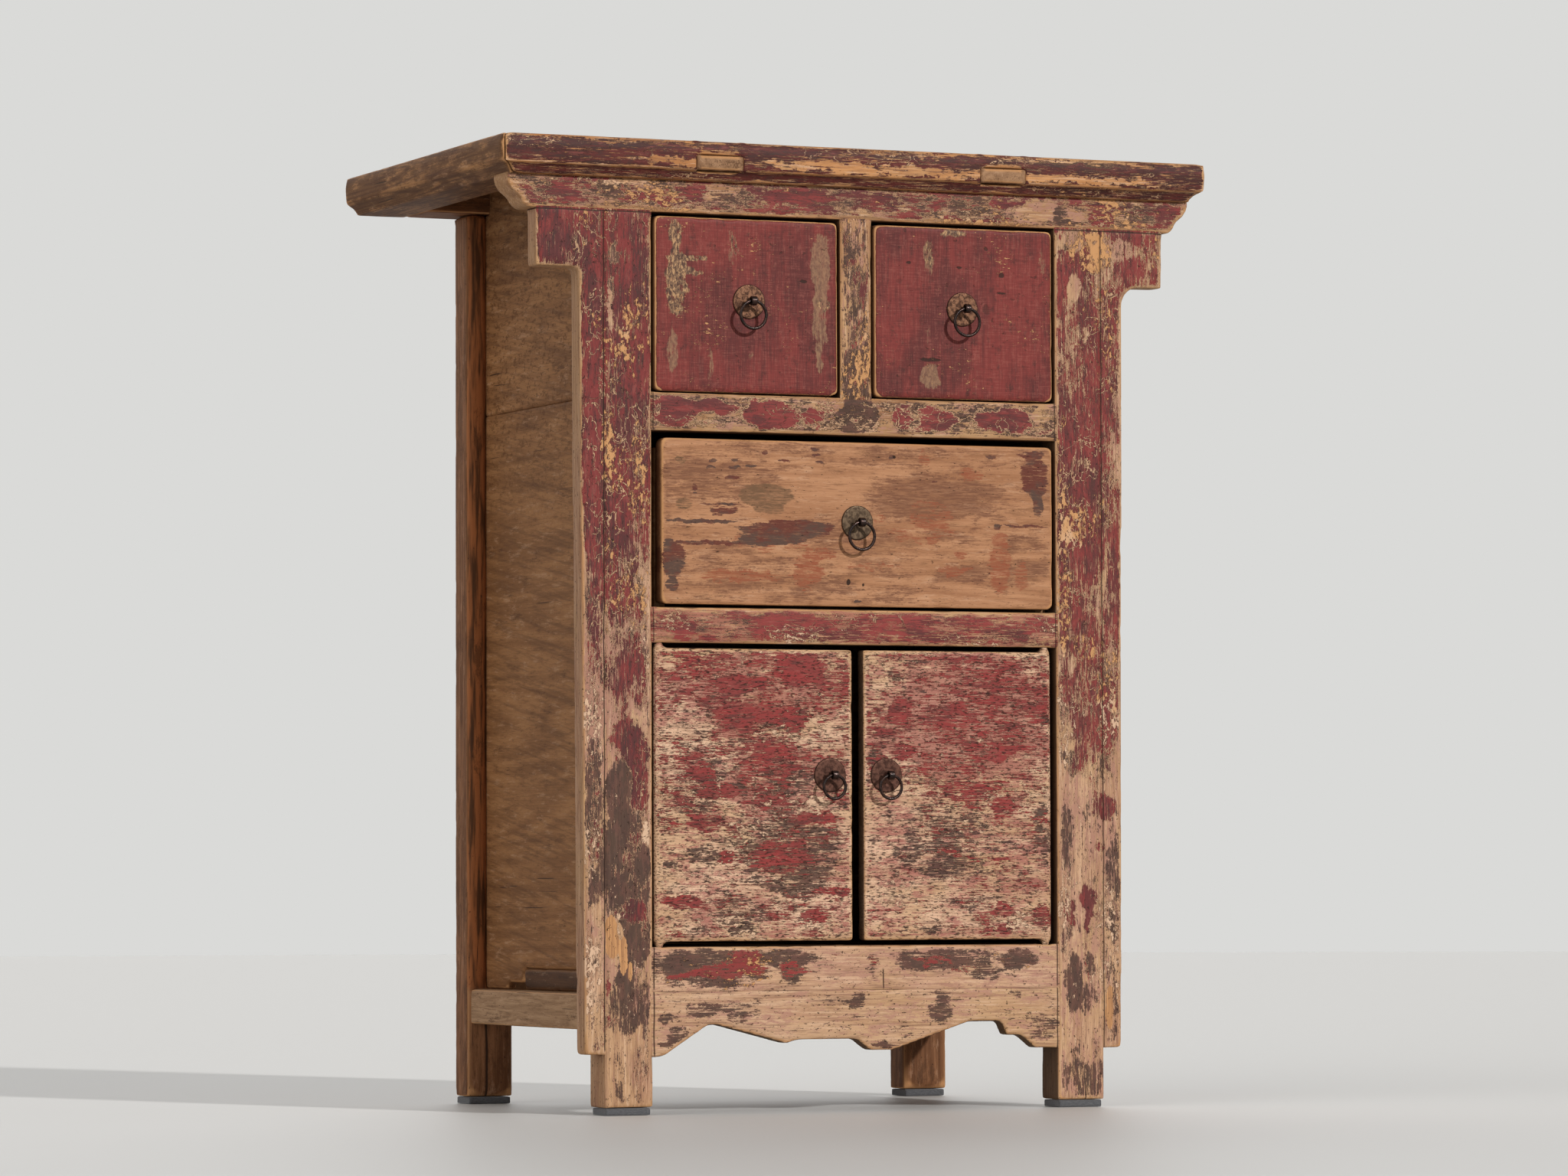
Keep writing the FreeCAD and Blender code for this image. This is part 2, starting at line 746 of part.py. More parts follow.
def moulding(edge, inward):
    """The frame's section: edge is the nose, inward is 1 or -1 for the way to the middle."""
    nose_round = (s.arris_setback + s.arris_drop) * (NOSE_ROUNDNESS * inward)
    cove_round = (s.cove_setback - s.step_setback + s.step_height) * (COVE_ROUNDNESS * inward)
    step_level = top_low + s.step_height
    return [
        (edge + s.cove_setback * inward, top_low),
        (edge + s.top_frame_width * inward, top_low),
        (edge + s.top_frame_width * inward, top_high),
        (edge + s.arris_setback * inward, top_high, nose_round),
        (edge, top_high - s.arris_drop),
        (edge + s.fascia_setback * inward, step_level),
        (edge + s.step_setback * inward, step_level, -cove_round),
    ]


def mitre_tool(name, side, angle, from_inside):
    """A turned box with one face on the mitre of a front corner."""
    reach = s.top_frame_width * math.sqrt(2) if from_inside else middle
    tool = doc.addObject("Part::Box", name)
    bind(tool, "Length", s.top_frame_width * 2)
    bind(tool, "Width", s.top_frame_width)
    bind(tool, "Height", s.top_thickness)
    place(tool, ((top_half - reach) * side, top_front + reach, top_low),
          FreeCAD.Rotation(FreeCAD.Vector(0, 0, 1), angle))
    return tool


top_tongue_low = top_panel_low + (s.top_panel_thickness - s.top_tongue_thickness) / 2
top_tongue = box("top_tongue",
                 (-top_inner_half - s.groove_depth, top_opening_front - s.groove_depth, top_tongue_low),
                 (top_inner_half + s.groove_depth, top_opening_back + s.groove_depth,
                  top_tongue_low + s.top_tongue_thickness))
top_field = box("top_field", (-top_inner_half, top_opening_front, top_panel_low),
                (top_inner_half, top_opening_back, top_high))
node(fuse("top_panel", top_field, top_tongue))

batten_low = top_panel_low - s.batten_thickness
battens = []
batten_tenons = []
for side, word in ((LEFT, "left"), (RIGHT, "right")):
    centre = s.batten_spacing / 2 * side
    low_x, high_x = centre - s.batten_width / 2, centre + s.batten_width / 2
    bar = box(f"{word}_batten_bar", (low_x, top_opening_front, batten_low),
              (high_x, top_opening_back, top_panel_low))
    tenon = box(f"{word}_batten_tenon", (low_x, top_front, batten_low),
                (high_x, top_opening_back + s.stub_length, batten_low + s.batten_tenon_thickness))
    batten_tenons.append(tenon)
    battens.append(fuse(f"{word}_batten", bar, tenon))
node(group("top_battens", *battens))

back_rail_blank = box("top_back_blank", (-top_inner_half, top_opening_back, top_low),
                      (top_inner_half, top_back, top_high))
back_rail_stub = box("top_back_stub",
                     (-top_inner_half - s.stub_length, top_opening_back + s.top_frame_width / 2, batten_low),
                     (top_inner_half + s.stub_length, top_back - s.tenon_shoulder,
                      batten_low + s.tenon_thickness))
node(cut("top_back_rail", fuse("top_back_stubbed", back_rail_blank, back_rail_stub),
         top_tongue, *batten_tenons))

front_moulding = outline("top_front_moulding", "YZ_Plane", moulding(top_front, 1), top_half * 2,
                         (-top_half, middle, middle))
node(cut("top_front_rail", front_moulding, top_tongue, *batten_tenons,
         mitre_tool("left_front_mitre", LEFT, 45, False), mitre_tool("right_front_mitre", RIGHT, -45, True)))

for side, word, angle in ((LEFT, "left", -135), (RIGHT, "right", 135)):
    end_moulding = outline(f"top_{word}_moulding", "XZ_Plane", moulding(top_half * side, -side), top_depth,
                           (middle, top_front, middle), True)
    node(cut(f"top_{word}_end", end_moulding, top_tongue, back_rail_stub,
             mitre_tool(f"{word}_end_mitre", side, angle, side == LEFT)))


# Pulls: a round plate, a split pin with an eye, and a ring that hangs in the eye

def pull(name, x, z, board_thickness, ring_radius):
    """Makes the pull's three nodes, and gives the hole for the pin."""
    plate_front = front - s.plate_thickness
    eye_bore = s.ring_wire_radius + s.eye_clearance
    stem_start = eye_bore + s.eye_wall / 2
    eye_left = x - s.eye_width / 2
    eye_y = front - s.ring_standoff
    inner_face = front + board_thickness
    hole = rod_back(f"{name}_hole", s.pin_radius + s.pin_clearance, (x, plate_front, z),
                    s.plate_thickness + board_thickness)
    disc = rod_back(f"{name}_disc", s.plate_radius, (x, plate_front, z), s.plate_thickness)
    node(cut(f"{name}_plate", disc, hole))
    loop = rod_across(f"{name}_loop", eye_bore + s.eye_wall, (eye_left, eye_y, z), s.eye_width)
    bore = rod_across(f"{name}_bore", eye_bore, (eye_left, eye_y, z), s.eye_width)
    eye = cut(f"{name}_eye", loop, bore)
    stem = rod_back(f"{name}_stem", s.pin_radius, (x, eye_y + stem_start, z),
                    inner_face + s.pin_leg_thickness - eye_y - stem_start)
    legs = box(f"{name}_legs", (x - s.pin_leg_reach, inner_face, z - s.pin_radius),
               (x + s.pin_leg_reach, inner_face + s.pin_leg_thickness, z + s.pin_radius))
    node(fuse(f"{name}_pin", eye, stem, legs))
    node(torus(f"{name}_ring", ring_radius, s.ring_wire_radius, (x, eye_y, z - ring_radius),
               FreeCAD.Rotation(FreeCAD.Vector(1, 0, 0), 90)))
    return hole


# Drawers

def rounded_board(name, low_x, high_x, low, high, thickness):
    r = s.drawer_corner
    points = [
        (low_x + r, low),
        (high_x - r, low, r),
        (high_x, low + r),
        (high_x, high - r, r),
        (high_x - r, high),
        (low_x + r, high, r),
        (low_x, high - r),
        (low_x, low + r, r),
    ]
    return outline(name, "XZ_Plane", points, thickness, (middle, front, middle), True)


def drawer(name, low_x, high_x, runner_top, opening_top, bottom_gap, top_gap, pull_x, pull_height):
    """A drawer whose sides stand on its runners, with its front flush with the posts."""
    face_top = opening_top - top_gap
    inner_face = front + s.drawer_front_thickness
    back_face = back_board_front - s.drawer_back_gap
    wall_top = face_top - s.drawer_side_drop
    inner_low, inner_high = low_x + s.drawer_wall_thickness, high_x - s.drawer_wall_thickness
    bottom_low = runner_top + s.drawer_bottom_lift
    bottom_high = bottom_low + s.drawer_bottom_thickness

    groove_low, groove_high = inner_low - s.drawer_groove, inner_high + s.drawer_groove
    bottom = node(box(f"{name}_bottom", (groove_low, inner_face - s.drawer_groove, bottom_low),
                      (groove_high, back_face, bottom_high)))
    back = node(box(f"{name}_back", (groove_low, back_face - s.drawer_wall_thickness, bottom_high),
                    (groove_high, back_face, wall_top)))
    walls = []
    tongues = []
    for word, wall_low, wall_high in (("left", low_x, inner_low), ("right", inner_high, high_x)):
        wall = box(f"{name}_{word}_wall", (wall_low, inner_face, runner_top),
                   (wall_high, back_face, wall_top))
        tongue = box(f"{name}_{word}_tongue",
                     (wall_low + s.drawer_wall_thickness / 4, inner_face - s.drawer_tongue, bottom_low),
                     (wall_high - s.drawer_wall_thickness / 4, inner_face, wall_top))
        tongues.append(tongue)
        walls.append(cut(f"{name}_{word}_side", fuse(f"{name}_{word}_blank", wall, tongue), bottom, back))
    node(group(f"{name}_sides", *walls))
    hole = pull(name, pull_x, runner_top + pull_height, s.drawer_front_thickness, s.drawer_ring_radius)
    board = rounded_board(f"{name}_board", low_x, high_x, runner_top + bottom_gap, face_top,
                          s.drawer_front_thickness)
    node(cut(f"{name}_front", board, bottom, *tongues, hole))


small_outer = opening_half - s.small_side_gap
small_inner = divider_half + s.small_side_gap
for side, word in ((LEFT, "left"), (RIGHT, "right")):
    low_x, high_x = across(side, small_inner, small_outer)
    drawer(f"{word}_drawer", low_x, high_x, upper_rail_top, frieze_low, s.small_bottom_gap, s.small_top_gap,
           s.small_pull_offset * side, s.small_pull_height)
drawer("wide_drawer", s.wide_left_gap - opening_half, opening_half - s.wide_right_gap, lower_rail_top,
       upper_rail_low, s.wide_bottom_gap, s.wide_top_gap, middle, s.wide_pull_height)


# Doors: a board with a rounded hinge edge around its pivots, stiffened by two battens

def door(name, side):
    edge_gap, middle_gap = door_edges[side]
    outer = opening_half - edge_gap
    low, high = bottom_rail_top + s.door_end_gap, lower_rail_low - s.door_end_gap
    back = front + s.door_thickness
    points = [
        (middle_gap, front),
        (outer - s.pivot_inset, front, s.pivot_inset),
        (outer, front + s.pivot_inset),
        (outer, back),
        (middle_gap, back),
    ]
    board = outline(f"{name}_plank", "XY_Plane", mirrored(side, points), high - low, (middle, middle, low))
    hole = pull(name, s.door_pull_offset * side, bottom_rail_top + s.door_pull_height, s.door_thickness,
                s.door_ring_radius)
    node(cut(f"{name}_board", fuse(f"{name}_pivoted", board, pivots[side]), hole))
    battens = []
    for place_word, inner in (("inner", s.door_pull_offset + s.door_batten_margin),
                              ("outer", outer - s.door_batten_margin - s.door_batten_width)):
        low_x, high_x = across(side, inner, inner + s.door_batten_width)
        battens.append(box(f"{name}_{place_word}_batten", (low_x, back, low + s.door_batten_margin),
                           (high_x, back + s.door_batten_thickness, high - s.door_batten_margin)))
    node(group(f"{name}_battens", *battens))


door("left_door", LEFT)
door("right_door", RIGHT)


# Check every object, then write each sub-part
doc.recompute()
for thing in doc.Objects:
    if {"Invalid", "Error"} & set(thing.State):
        raise RuntimeError(f"{thing.Label} failed: {thing.State}")
for thing in nodes:
    if thing.Shape.isNull() or not thing.Shape.isValid() or not thing.Shape.Solids:
        raise RuntimeError(f"{thing.Label} has no valid solid")

os.makedirs("parts", exist_ok=True)
for thing in nodes:
    thing.Shape.exportStep(f"parts/{thing.Label}.step")
print(len(nodes), "nodes,", sum(len(thing.Shape.Solids) for thing in nodes), "solids")
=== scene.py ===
import json
import math

import bmesh
import bpy
import numpy as np
from mathutils import Matrix, Vector, noise


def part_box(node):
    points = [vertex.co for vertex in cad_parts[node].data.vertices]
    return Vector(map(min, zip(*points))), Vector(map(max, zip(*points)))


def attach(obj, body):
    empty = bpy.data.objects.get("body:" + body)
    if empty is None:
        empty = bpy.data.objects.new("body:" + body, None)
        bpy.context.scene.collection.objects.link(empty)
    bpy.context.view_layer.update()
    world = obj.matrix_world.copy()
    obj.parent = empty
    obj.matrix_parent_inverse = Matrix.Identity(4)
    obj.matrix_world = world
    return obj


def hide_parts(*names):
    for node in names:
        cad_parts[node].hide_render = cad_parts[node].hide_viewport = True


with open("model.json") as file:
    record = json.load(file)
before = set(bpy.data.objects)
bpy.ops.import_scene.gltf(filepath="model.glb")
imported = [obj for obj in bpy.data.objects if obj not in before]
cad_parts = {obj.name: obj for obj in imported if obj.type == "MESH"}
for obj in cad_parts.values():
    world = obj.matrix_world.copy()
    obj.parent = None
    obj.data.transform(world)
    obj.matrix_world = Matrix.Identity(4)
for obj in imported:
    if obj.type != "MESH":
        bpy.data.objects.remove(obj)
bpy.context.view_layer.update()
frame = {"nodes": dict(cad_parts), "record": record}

# The looks of a small painted cabinet: worn boards, old red paint, iron ring pulls and felt pads.
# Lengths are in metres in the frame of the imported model, with the front at -Y; spots of paint are given in
# millimetres on the front, as (x, z, half width, half height, amount), and cracks as (place, low, high,
# half width, strength, whether level).

MM = 0.001
X, Z = 0, 2

# Corners of a CAD mesh nearer than WELD are one; boards that touch are cut SEAM short of their joint, and
# reach SEAM_REACH back into it.
WELD = 1e-5
SEAM = 0.1 * MM
SEAM_REACH = 5 * SEAM

# How far a rail or post reaches into its neighbour, where both are worn.
REACH = 3 * MM

# Passes that sink a copy's edges, to find how worn each one is.
SINKING = 14

# Noise of the uneven faces and of the chipped edges: its scale per metre, and where it starts.
WAVES_ACROSS, WAVES_ALONG, WAVES_FROM = 38.0, 7.0, 3.7
CHIPS_SCALE, CHIPS_FROM = 55, 11.3

record = frame["record"]
body_of = {node: body for body, nodes in record["behaviour"]["bodies"].items() for node in nodes}


# Shapes

def solid(node):
    """The CAD node's mesh with its split corners joined again."""
    shape = bmesh.new()
    shape.from_mesh(frame["nodes"][node].data)
    bmesh.ops.remove_doubles(shape, verts=shape.verts, dist=WELD)
    return shape


def slice_between(shape, low, high):
    """Keeps what lies between two levels, and closes the cuts."""
    for level, away in ((low, -1), (high, 1)):
        if level is None:
            continue
        cut = bmesh.ops.bisect_plane(shape, geom=[*shape.verts, *shape.edges, *shape.faces],
                                     plane_co=(0, 0, level), plane_no=(0, 0, away), clear_outer=True)
        rim = [item for item in cut["geom_cut"] if isinstance(item, bmesh.types.BMEdge)]
        bmesh.ops.holes_fill(shape, edges=rim)
    return shape


def boards_of(node, joints):
    """The boards of a node that touch at these levels: each one's shape, and its ends as crisp planes."""
    levels = [None, *joints, None]
    for low, high in zip(levels, levels[1:]):
        ends = [(Z, level, push) for level, push in ((low, -SEAM_REACH), (high, SEAM_REACH))
                if level is not None]
        yield slice_between(solid(node), None if low is None else low + SEAM,
                            None if high is None else high - SEAM), ends


def evaluated(mesh, kind, **settings):
    """The mesh after one modifier."""
    holder = bpy.data.objects.new("blank", mesh)
    bpy.context.scene.collection.objects.link(holder)
    modifier = holder.modifiers.new("step", kind)
    for name, value in settings.items():
        setattr(modifier, name, value)
    graph = bpy.context.evaluated_depsgraph_get()
    result = bpy.data.meshes.new_from_object(holder.evaluated_get(graph))
    bpy.data.objects.remove(holder)
    bpy.data.meshes.remove(mesh)
    return result


def read(collection, name, width, kind=np.float32):
    """A property of all members, as rows of this width."""
    values = np.empty(len(collection) * width, kind)
    collection.foreach_get(name, values)
    return values.reshape(-1, width)


def eased(places, ends, passes, hold):
    """Moves each point towards the mean of its neighbours, less where it is held."""
    count = np.bincount(ends.ravel(), minlength=len(places))[:, None]
    for _ in range(passes):
        mean = np.empty_like(places)
        for axis in range(3):
            mean[:, axis] = (np.bincount(ends[:, 0], places[ends[:, 1], axis], len(places))
                             + np.bincount(ends[:, 1], places[ends[:, 0], axis], len(places)))
        places = places + (mean / count - places) * 0.5 * hold
    return places


def field(places, scale, shift):
    """Smooth noise from -1 to 1 at the places."""
    return np.array([noise.noise(spot) for spot in (places * scale + shift).tolist()])


def step(values, low, high):
    """Rises smoothly from 0 to 1 as the values go from low to high."""
    share = np.clip((values - low) / (high - low), 0, 1)
    return share * share * (3 - 2 * share)


def worn_mesh(shape, voxel, passes, crisp, along, facing, wave, nicks, keep):
    """A worn copy of a solid: rounded edges, faces worn a little unevenly, and two attributes.

    wear says how worn an edge is, and front how much a face looks along facing; the materials read both.
    crisp holds (axis, place, push) of the planes where the piece meets a neighbour: its edges stay sharp
    there, and it reaches in by the push. wave and nicks are how deep faces and edges are worn, and keep is
    the share of the faces that stays.
    """
    blank = bpy.data.meshes.new("blank")
    bmesh.ops.triangulate(shape, faces=shape.faces)
    shape.to_mesh(blank)
    shape.free()
    mesh = evaluated(blank, "REMESH", mode="VOXEL", voxel_size=voxel, use_smooth_shade=True)
    places = read(mesh.vertices, "co", 3).astype(float)
    ends = read(mesh.edges, "vertices", 2, np.int32)
    normals = read(mesh.vertex_normals, "vector", 3).astype(float)

    hold = np.ones((len(places), 1))
    reach = np.zeros_like(places)
    for axis, place, push in crisp:
        away = abs(places[:, axis] - place)
        hold[:, 0] *= step(away, 0.5 * voxel, 3 * voxel)
        reach[:, axis] += push * (1 - step(away, 0.7 * voxel, 1.6 * voxel))
    rounded = eased(places, ends, passes, hold)
    sunk = eased(places, ends, SINKING, np.ones((len(places), 1)))
    wear = step(((places - sunk) * normals).sum(1), 0.12 * voxel, 0.9 * voxel) * hold[:, 0]

    grain = np.full(3, WAVES_ACROSS)
    grain["XYZ".index(along)] = WAVES_ALONG
    worn = (1 - field(rounded, grain, WAVES_FROM)) * wave
    chips = step(field(rounded, CHIPS_SCALE, CHIPS_FROM), 0.1, 0.7) * wear * nicks
    shifted = rounded + reach - normals * ((worn + chips) * hold[:, 0])[:, None]
    mesh.vertices.foreach_set("co", shifted.astype(np.float32).ravel())
    front = step(normals @ np.array(facing), 0.2, 0.5)
    for name, values in (("wear", wear), ("front", front)):
        mesh.attributes.new(name, "FLOAT", "POINT").data.foreach_set("value", values.astype(np.float32))
    mesh.update()
    return evaluated(mesh, "DECIMATE", ratio=keep) if keep < 1 else mesh


def joined(name, meshes):
    """One object of all the meshes."""
    piece = bpy.data.objects.new(name, meshes[0])
    if len(meshes) > 1:
        whole = bmesh.new()
        for mesh in meshes:
            whole.from_mesh(mesh)
        whole.to_mesh(meshes[0])
        whole.free()
    bpy.context.scene.collection.objects.link(piece)
    return piece


def dress(node, material, along="X", voxel=3.0, passes=3, crisp=(), joints=(), facing=(0, -1, 0), wave=0.2,
          nicks=1.2, keep=0.5):
    """Puts a worn piece in the place of a CAD node."""
    meshes = [
        worn_mesh(shape, voxel * MM, passes, [*crisp, *ends], along, facing, wave * MM, nicks * MM, keep)
        for shape, ends in boards_of(node, joints)]
    piece = joined(node + "_worn", meshes)
    piece.data.materials.clear()
    piece.data.materials.append(material)
    piece.data.shade_smooth()
    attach(piece, body_of[node])
    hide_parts(node)
    return piece


# Materials

def srgb(red, green, blue):
    """A colour from 0 to 255 as the shader's linear one."""
    def linear(value):
        value /= 255
        return value / 12.92 if value <= 0.04045 else ((value + 0.055) / 1.055) ** 2.4
    return (linear(red), linear(green), linear(blue), 1)


CRIMSON = srgb(136, 60, 56)
SCARLET = srgb(148, 58, 55)
PLUM = srgb(104, 52, 50)
ROSE = srgb(156, 92, 82)
BRICK = srgb(150, 84, 58)
SLATE = srgb(70, 52, 47)
LINE = srgb(44, 28, 20)
PUTTY = srgb(206, 164, 128)
TAN = srgb(194, 148, 108)
HONEY = srgb(162, 116, 80)
GOLD = srgb(206, 152, 102)
PINK = srgb(176, 128, 110)
CREAM = srgb(220, 182, 150)
UMBER = srgb(84, 54, 34)
SALLOW = srgb(196, 156, 112)
STRAND = srgb(134, 98, 80)
FILM = srgb(94, 64, 56)
# The first is a brown tone for faces that look away from the front; the second is a painted shade for such
# faces inside the openings, where the gaps are dark.
SOIL, OPENING_SHADE = srgb(104, 66, 30), srgb(54, 34, 19)
LACQUER, OLD_LACQUER = srgb(129, 55, 50), srgb(98, 46, 43)
GRIMED, RUBBED = srgb(72, 41, 37), srgb(154, 88, 77)
WARP, WEFT = srgb(164, 100, 86), srgb(80, 42, 38)
BEIGE, DARK_BEIGE = srgb(158, 122, 92), srgb(122, 90, 72)
OLD_COAT, OLDER_COAT, OLDEST_COAT = srgb(198, 156, 112), srgb(128, 100, 76), srgb(72, 54, 46)
WORN_RIM = srgb(74, 48, 40)
BARE, DARK_BARE = srgb(192, 140, 102), srgb(162, 112, 78)
BROWN_HAZE, GREY_STAIN = srgb(124, 82, 60), srgb(114, 84, 60)
RUSSET, DULL_RUSSET = srgb(104, 56, 45), srgb(90, 67, 57)
# The first is a painted shade for the sides of the wide drawer's front; the second is for short dark marks in
# plain wood.
GAP_SHADE, TICK = srgb(92, 56, 32), srgb(86, 52, 26)

# The bump's strength, and how much less paint a face has that looks away from the front.
BUMP = 0.8
AWAY = 0.9

# A spot is full up to the first share of its half size, and gone at the second; NO_LIMIT is a half size that
# leaves its direction out.
SPOT_FULL, SPOT_GONE = 0.6, 1.25
NO_LIMIT = 1e3

# How far a crack wanders, in half widths, and how softly it ends, in millimetres.
WANDER = 2.5
CRACK_END = 2

# Where the seams at the ends of the front rails are, in millimetres from the middle, and the levels between
# which the feet end.
RAIL_END = 229.4
FEET_END = (118, 130)


class Tree:
    """A node material built with short calls; any input takes a number, a colour or another node's output."""

    def __init__(self, name):
        self.material = bpy.data.materials.new(name)
        self.material.use_nodes = True
        self.nodes = self.material.node_tree.nodes
        self.links = self.material.node_tree.links
        self.shader = self.nodes["Principled BSDF"]
        self.place = self.add("ShaderNodeTexCoord").outputs["Object"]
        self.wear = self.add("ShaderNodeAttribute", attribute_name="wear").outputs["Fac"]
        self.front = self.add("ShaderNodeAttribute", attribute_name="front").outputs["Fac"]
        axes = self.add("ShaderNodeSeparateXYZ", {0: self.place}).outputs
        self.x, self.z = (self.times(axes[axis], 1 / MM) for axis in "XZ")

    def add(self, kind, inputs=None, **settings):
        node = self.nodes.new(kind)
        for name, value in settings.items():
            setattr(node, name, value)
        for key, value in (inputs or {}).items():
            self.feed(node.inputs[key], value)
        return node

    def feed(self, socket, value):
        if isinstance(value, bpy.types.NodeSocket):
            self.links.new(value, socket)
        else:
            socket.default_value = value

    def math(self, operation, *values):
        return self.add("ShaderNodeMath", dict(enumerate(values)), operation=operation).outputs[0]

    def times(self, value, factor):
        return self.math("MULTIPLY", value, factor)

    def total(self, *values):
        result = values[0]
        for value in values[1:]:
            result = self.math("ADD", result, value)
        return result

    def band(self, value, low, high, start=0.0, end=1.0):
        """Rises smoothly from start to end as the value goes from low to high."""
        inputs = dict(enumerate((value, low, high, start, end)))
        return self.add("ShaderNodeMapRange", inputs, interpolation_type="SMOOTHSTEP").outputs[0]

    def mix(self, share, first, second):
        return self.add("ShaderNodeMix", {0: share, 6: first, 7: second}, data_type="RGBA").outputs[2]

    def noise(self, along, across, length, detail=3.0, rough=0.55, bend=0.0, shift=0.0, kind="Fac", tilt=0.0):
        """Noise with patches of these sizes in millimetres, across and along the grain, tilted about X."""
        size = [across * MM] * 3
        size["XYZ".index(along)] = length * MM
        mapped = self.add("ShaderNodeMapping", {0: self.place, 1: (shift, shift, shift),
                                                2: (math.radians(tilt), 0, 0), 3: size},
                          vector_type="TEXTURE").outputs[0]
        inputs = {"Vector": mapped, "Scale": 1.0, "Detail": detail, "Roughness": rough, "Distortion": bend}
        return self.add("ShaderNodeTexNoise", inputs).outputs[kind]

    def spots(self, base, places, shift=0.0, stir=24):
        """Adds ragged ovals on the front to the base: each has its amount in the middle, nothing outside."""
        if not places:
            return base
        wobble = self.noise("X", 14, 14, 5, 0.65, shift=shift, kind="Color")
        bent = self.add("ShaderNodeVectorMath", {0: wobble, 1: (stir * MM,) * 3, 2: self.place},
                        operation="MULTIPLY_ADD").outputs[0]
        middle = stir * MM / 2
        for x, z, half_width, half_height, amount in places:
            mapped = self.add("ShaderNodeMapping", {0: bent, 1: (x * MM + middle, 0, z * MM + middle),
                                                    3: (half_width * MM, NO_LIMIT, half_height * MM)},
                              vector_type="TEXTURE").outputs[0]
            far = self.add("ShaderNodeVectorMath", {0: mapped}, operation="LENGTH").outputs["Value"]
            base = self.total(base, self.band(far, SPOT_FULL, SPOT_GONE, amount, 0.0))
        return base

    def rises(self, base, levels):
        """Adds an amount above each pair of levels in millimetres."""
        for low, high, amount in levels:
            base = self.total(base, self.band(self.z, low, high, 0.0, amount))
        return base

    def ragged(self, along, cover, patch, weights, bare, scratch, shift):
        """How far a place lies inside the ragged edge of a patch.

        Patches grow with cover; worn edges are bare, and fine scratches run through.
        """
        across, length = patch
        coarse = self.noise(along, across, length, 2, 0.5, 0.3, shift)
        middle = self.noise(along, across / 2.5, length / 2.5, 8, 0.74, 0.3, shift + 0.7)
        streak = self.noise(along, 1.6, 20, 5, 0.65, 0.0, shift + 1.3)
        grit = self.noise(along, 1.3, 3.2, 3, 0.7, 0.3, shift + 1.9)
        shares = (weights[0], 1.7 * weights[1], 1.3 * weights[2], 0.6 * weights[1])
        parts = [self.times(part, share) for part, share in zip((coarse, middle, streak, grit), shares)]
        level = self.total(*parts, -sum(shares) / 2, cover, self.times(self.wear, -bare))
        if scratch:
            lines = self.noise(along, 1.0, 18, 4, 0.65, 0.1, shift + 2.5)
            level = self.total(level, self.band(lines, 0.54, 0.66, 0.0, -scratch))
        return level

    def wood(self, along, light, dark, ring=60.0, shift=0.0, edge=GOLD):
        """Bare wood with growth lines, pores and a broad change of tone; gives its colour and height."""
        broad = self.noise(along, 90, 260, 2, shift=shift)
        rings = self.noise(along, ring, ring * 14, 1.5, 0.5, 0.15, shift)
        lines = self.math("PINGPONG", self.times(rings, 9.0), 0.5)
        fibre = self.noise(along, 1.3, 50, 4, 0.68, shift=shift)
        tone = self.total(self.times(lines, 0.6), self.times(broad, 0.6), self.times(fibre, 0.7))
        colour = self.mix(self.band(tone, 0.5, 1.1), light, dark)
        weather = self.noise(along, 6, 34, 7, 0.75, 0.2, shift + 0.4)
        colour = self.mix(self.band(weather, 0.52, 0.66, 0.0, 0.65), colour, self.mix(0.5, dark, UMBER))
        colour = self.mix(self.band(weather, 0.34, 0.46, 0.5, 0.0), colour, self.mix(0.4, light, CREAM))
        pores = self.band(self.noise(along, 0.8, 22, 2, 0.6, shift=shift), 0.6, 0.7, 0.0, 0.45)
        colour = self.mix(pores, colour, UMBER)
        return self.mix(self.band(self.wear, 0.3, 0.9, 0.0, 0.8), colour, edge), fibre

    def crack(self, colour, place, low, high, half_width, strength=0.9, level=False):
        """Draws a thin dark line between two ends: upright at x = place, or level at z = place."""
        across, along = (self.z, self.x) if level else (self.x, self.z)
        wander = self.noise("X" if level else "Z", 20, 40, 3, 0.5, shift=place * MM)
        away = self.math("ABSOLUTE", self.total(across, -place - WANDER / 2 * half_width,
                                                self.times(wander, WANDER * half_width)))
        line = self.band(away, 0.5 * half_width, half_width, strength, 0.0)
        for value, start, end in ((low, 0.0, 1.0), (high, 1.0, 0.0)):
            line = self.times(line, self.band(along, value - CRACK_END, value + CRACK_END, start, end))
        return self.mix(line, colour, LINE)

    def finish(self, colour, height, rough, depth=0.35, shine=0.12):
        """Feeds the shader; height is in shares of the bump's depth in millimetres."""
        inputs = {"Strength": BUMP, "Distance": depth * MM, "Height": height}
        bump = self.add("ShaderNodeBump", inputs).outputs[0]
        self.feed(self.shader.inputs["Base Color"], colour)
        self.feed(self.shader.inputs["Roughness"], rough)
        self.feed(self.shader.inputs["Normal"], bump)
        self.shader.inputs["Specular IOR Level"].default_value = shine
        return self.material


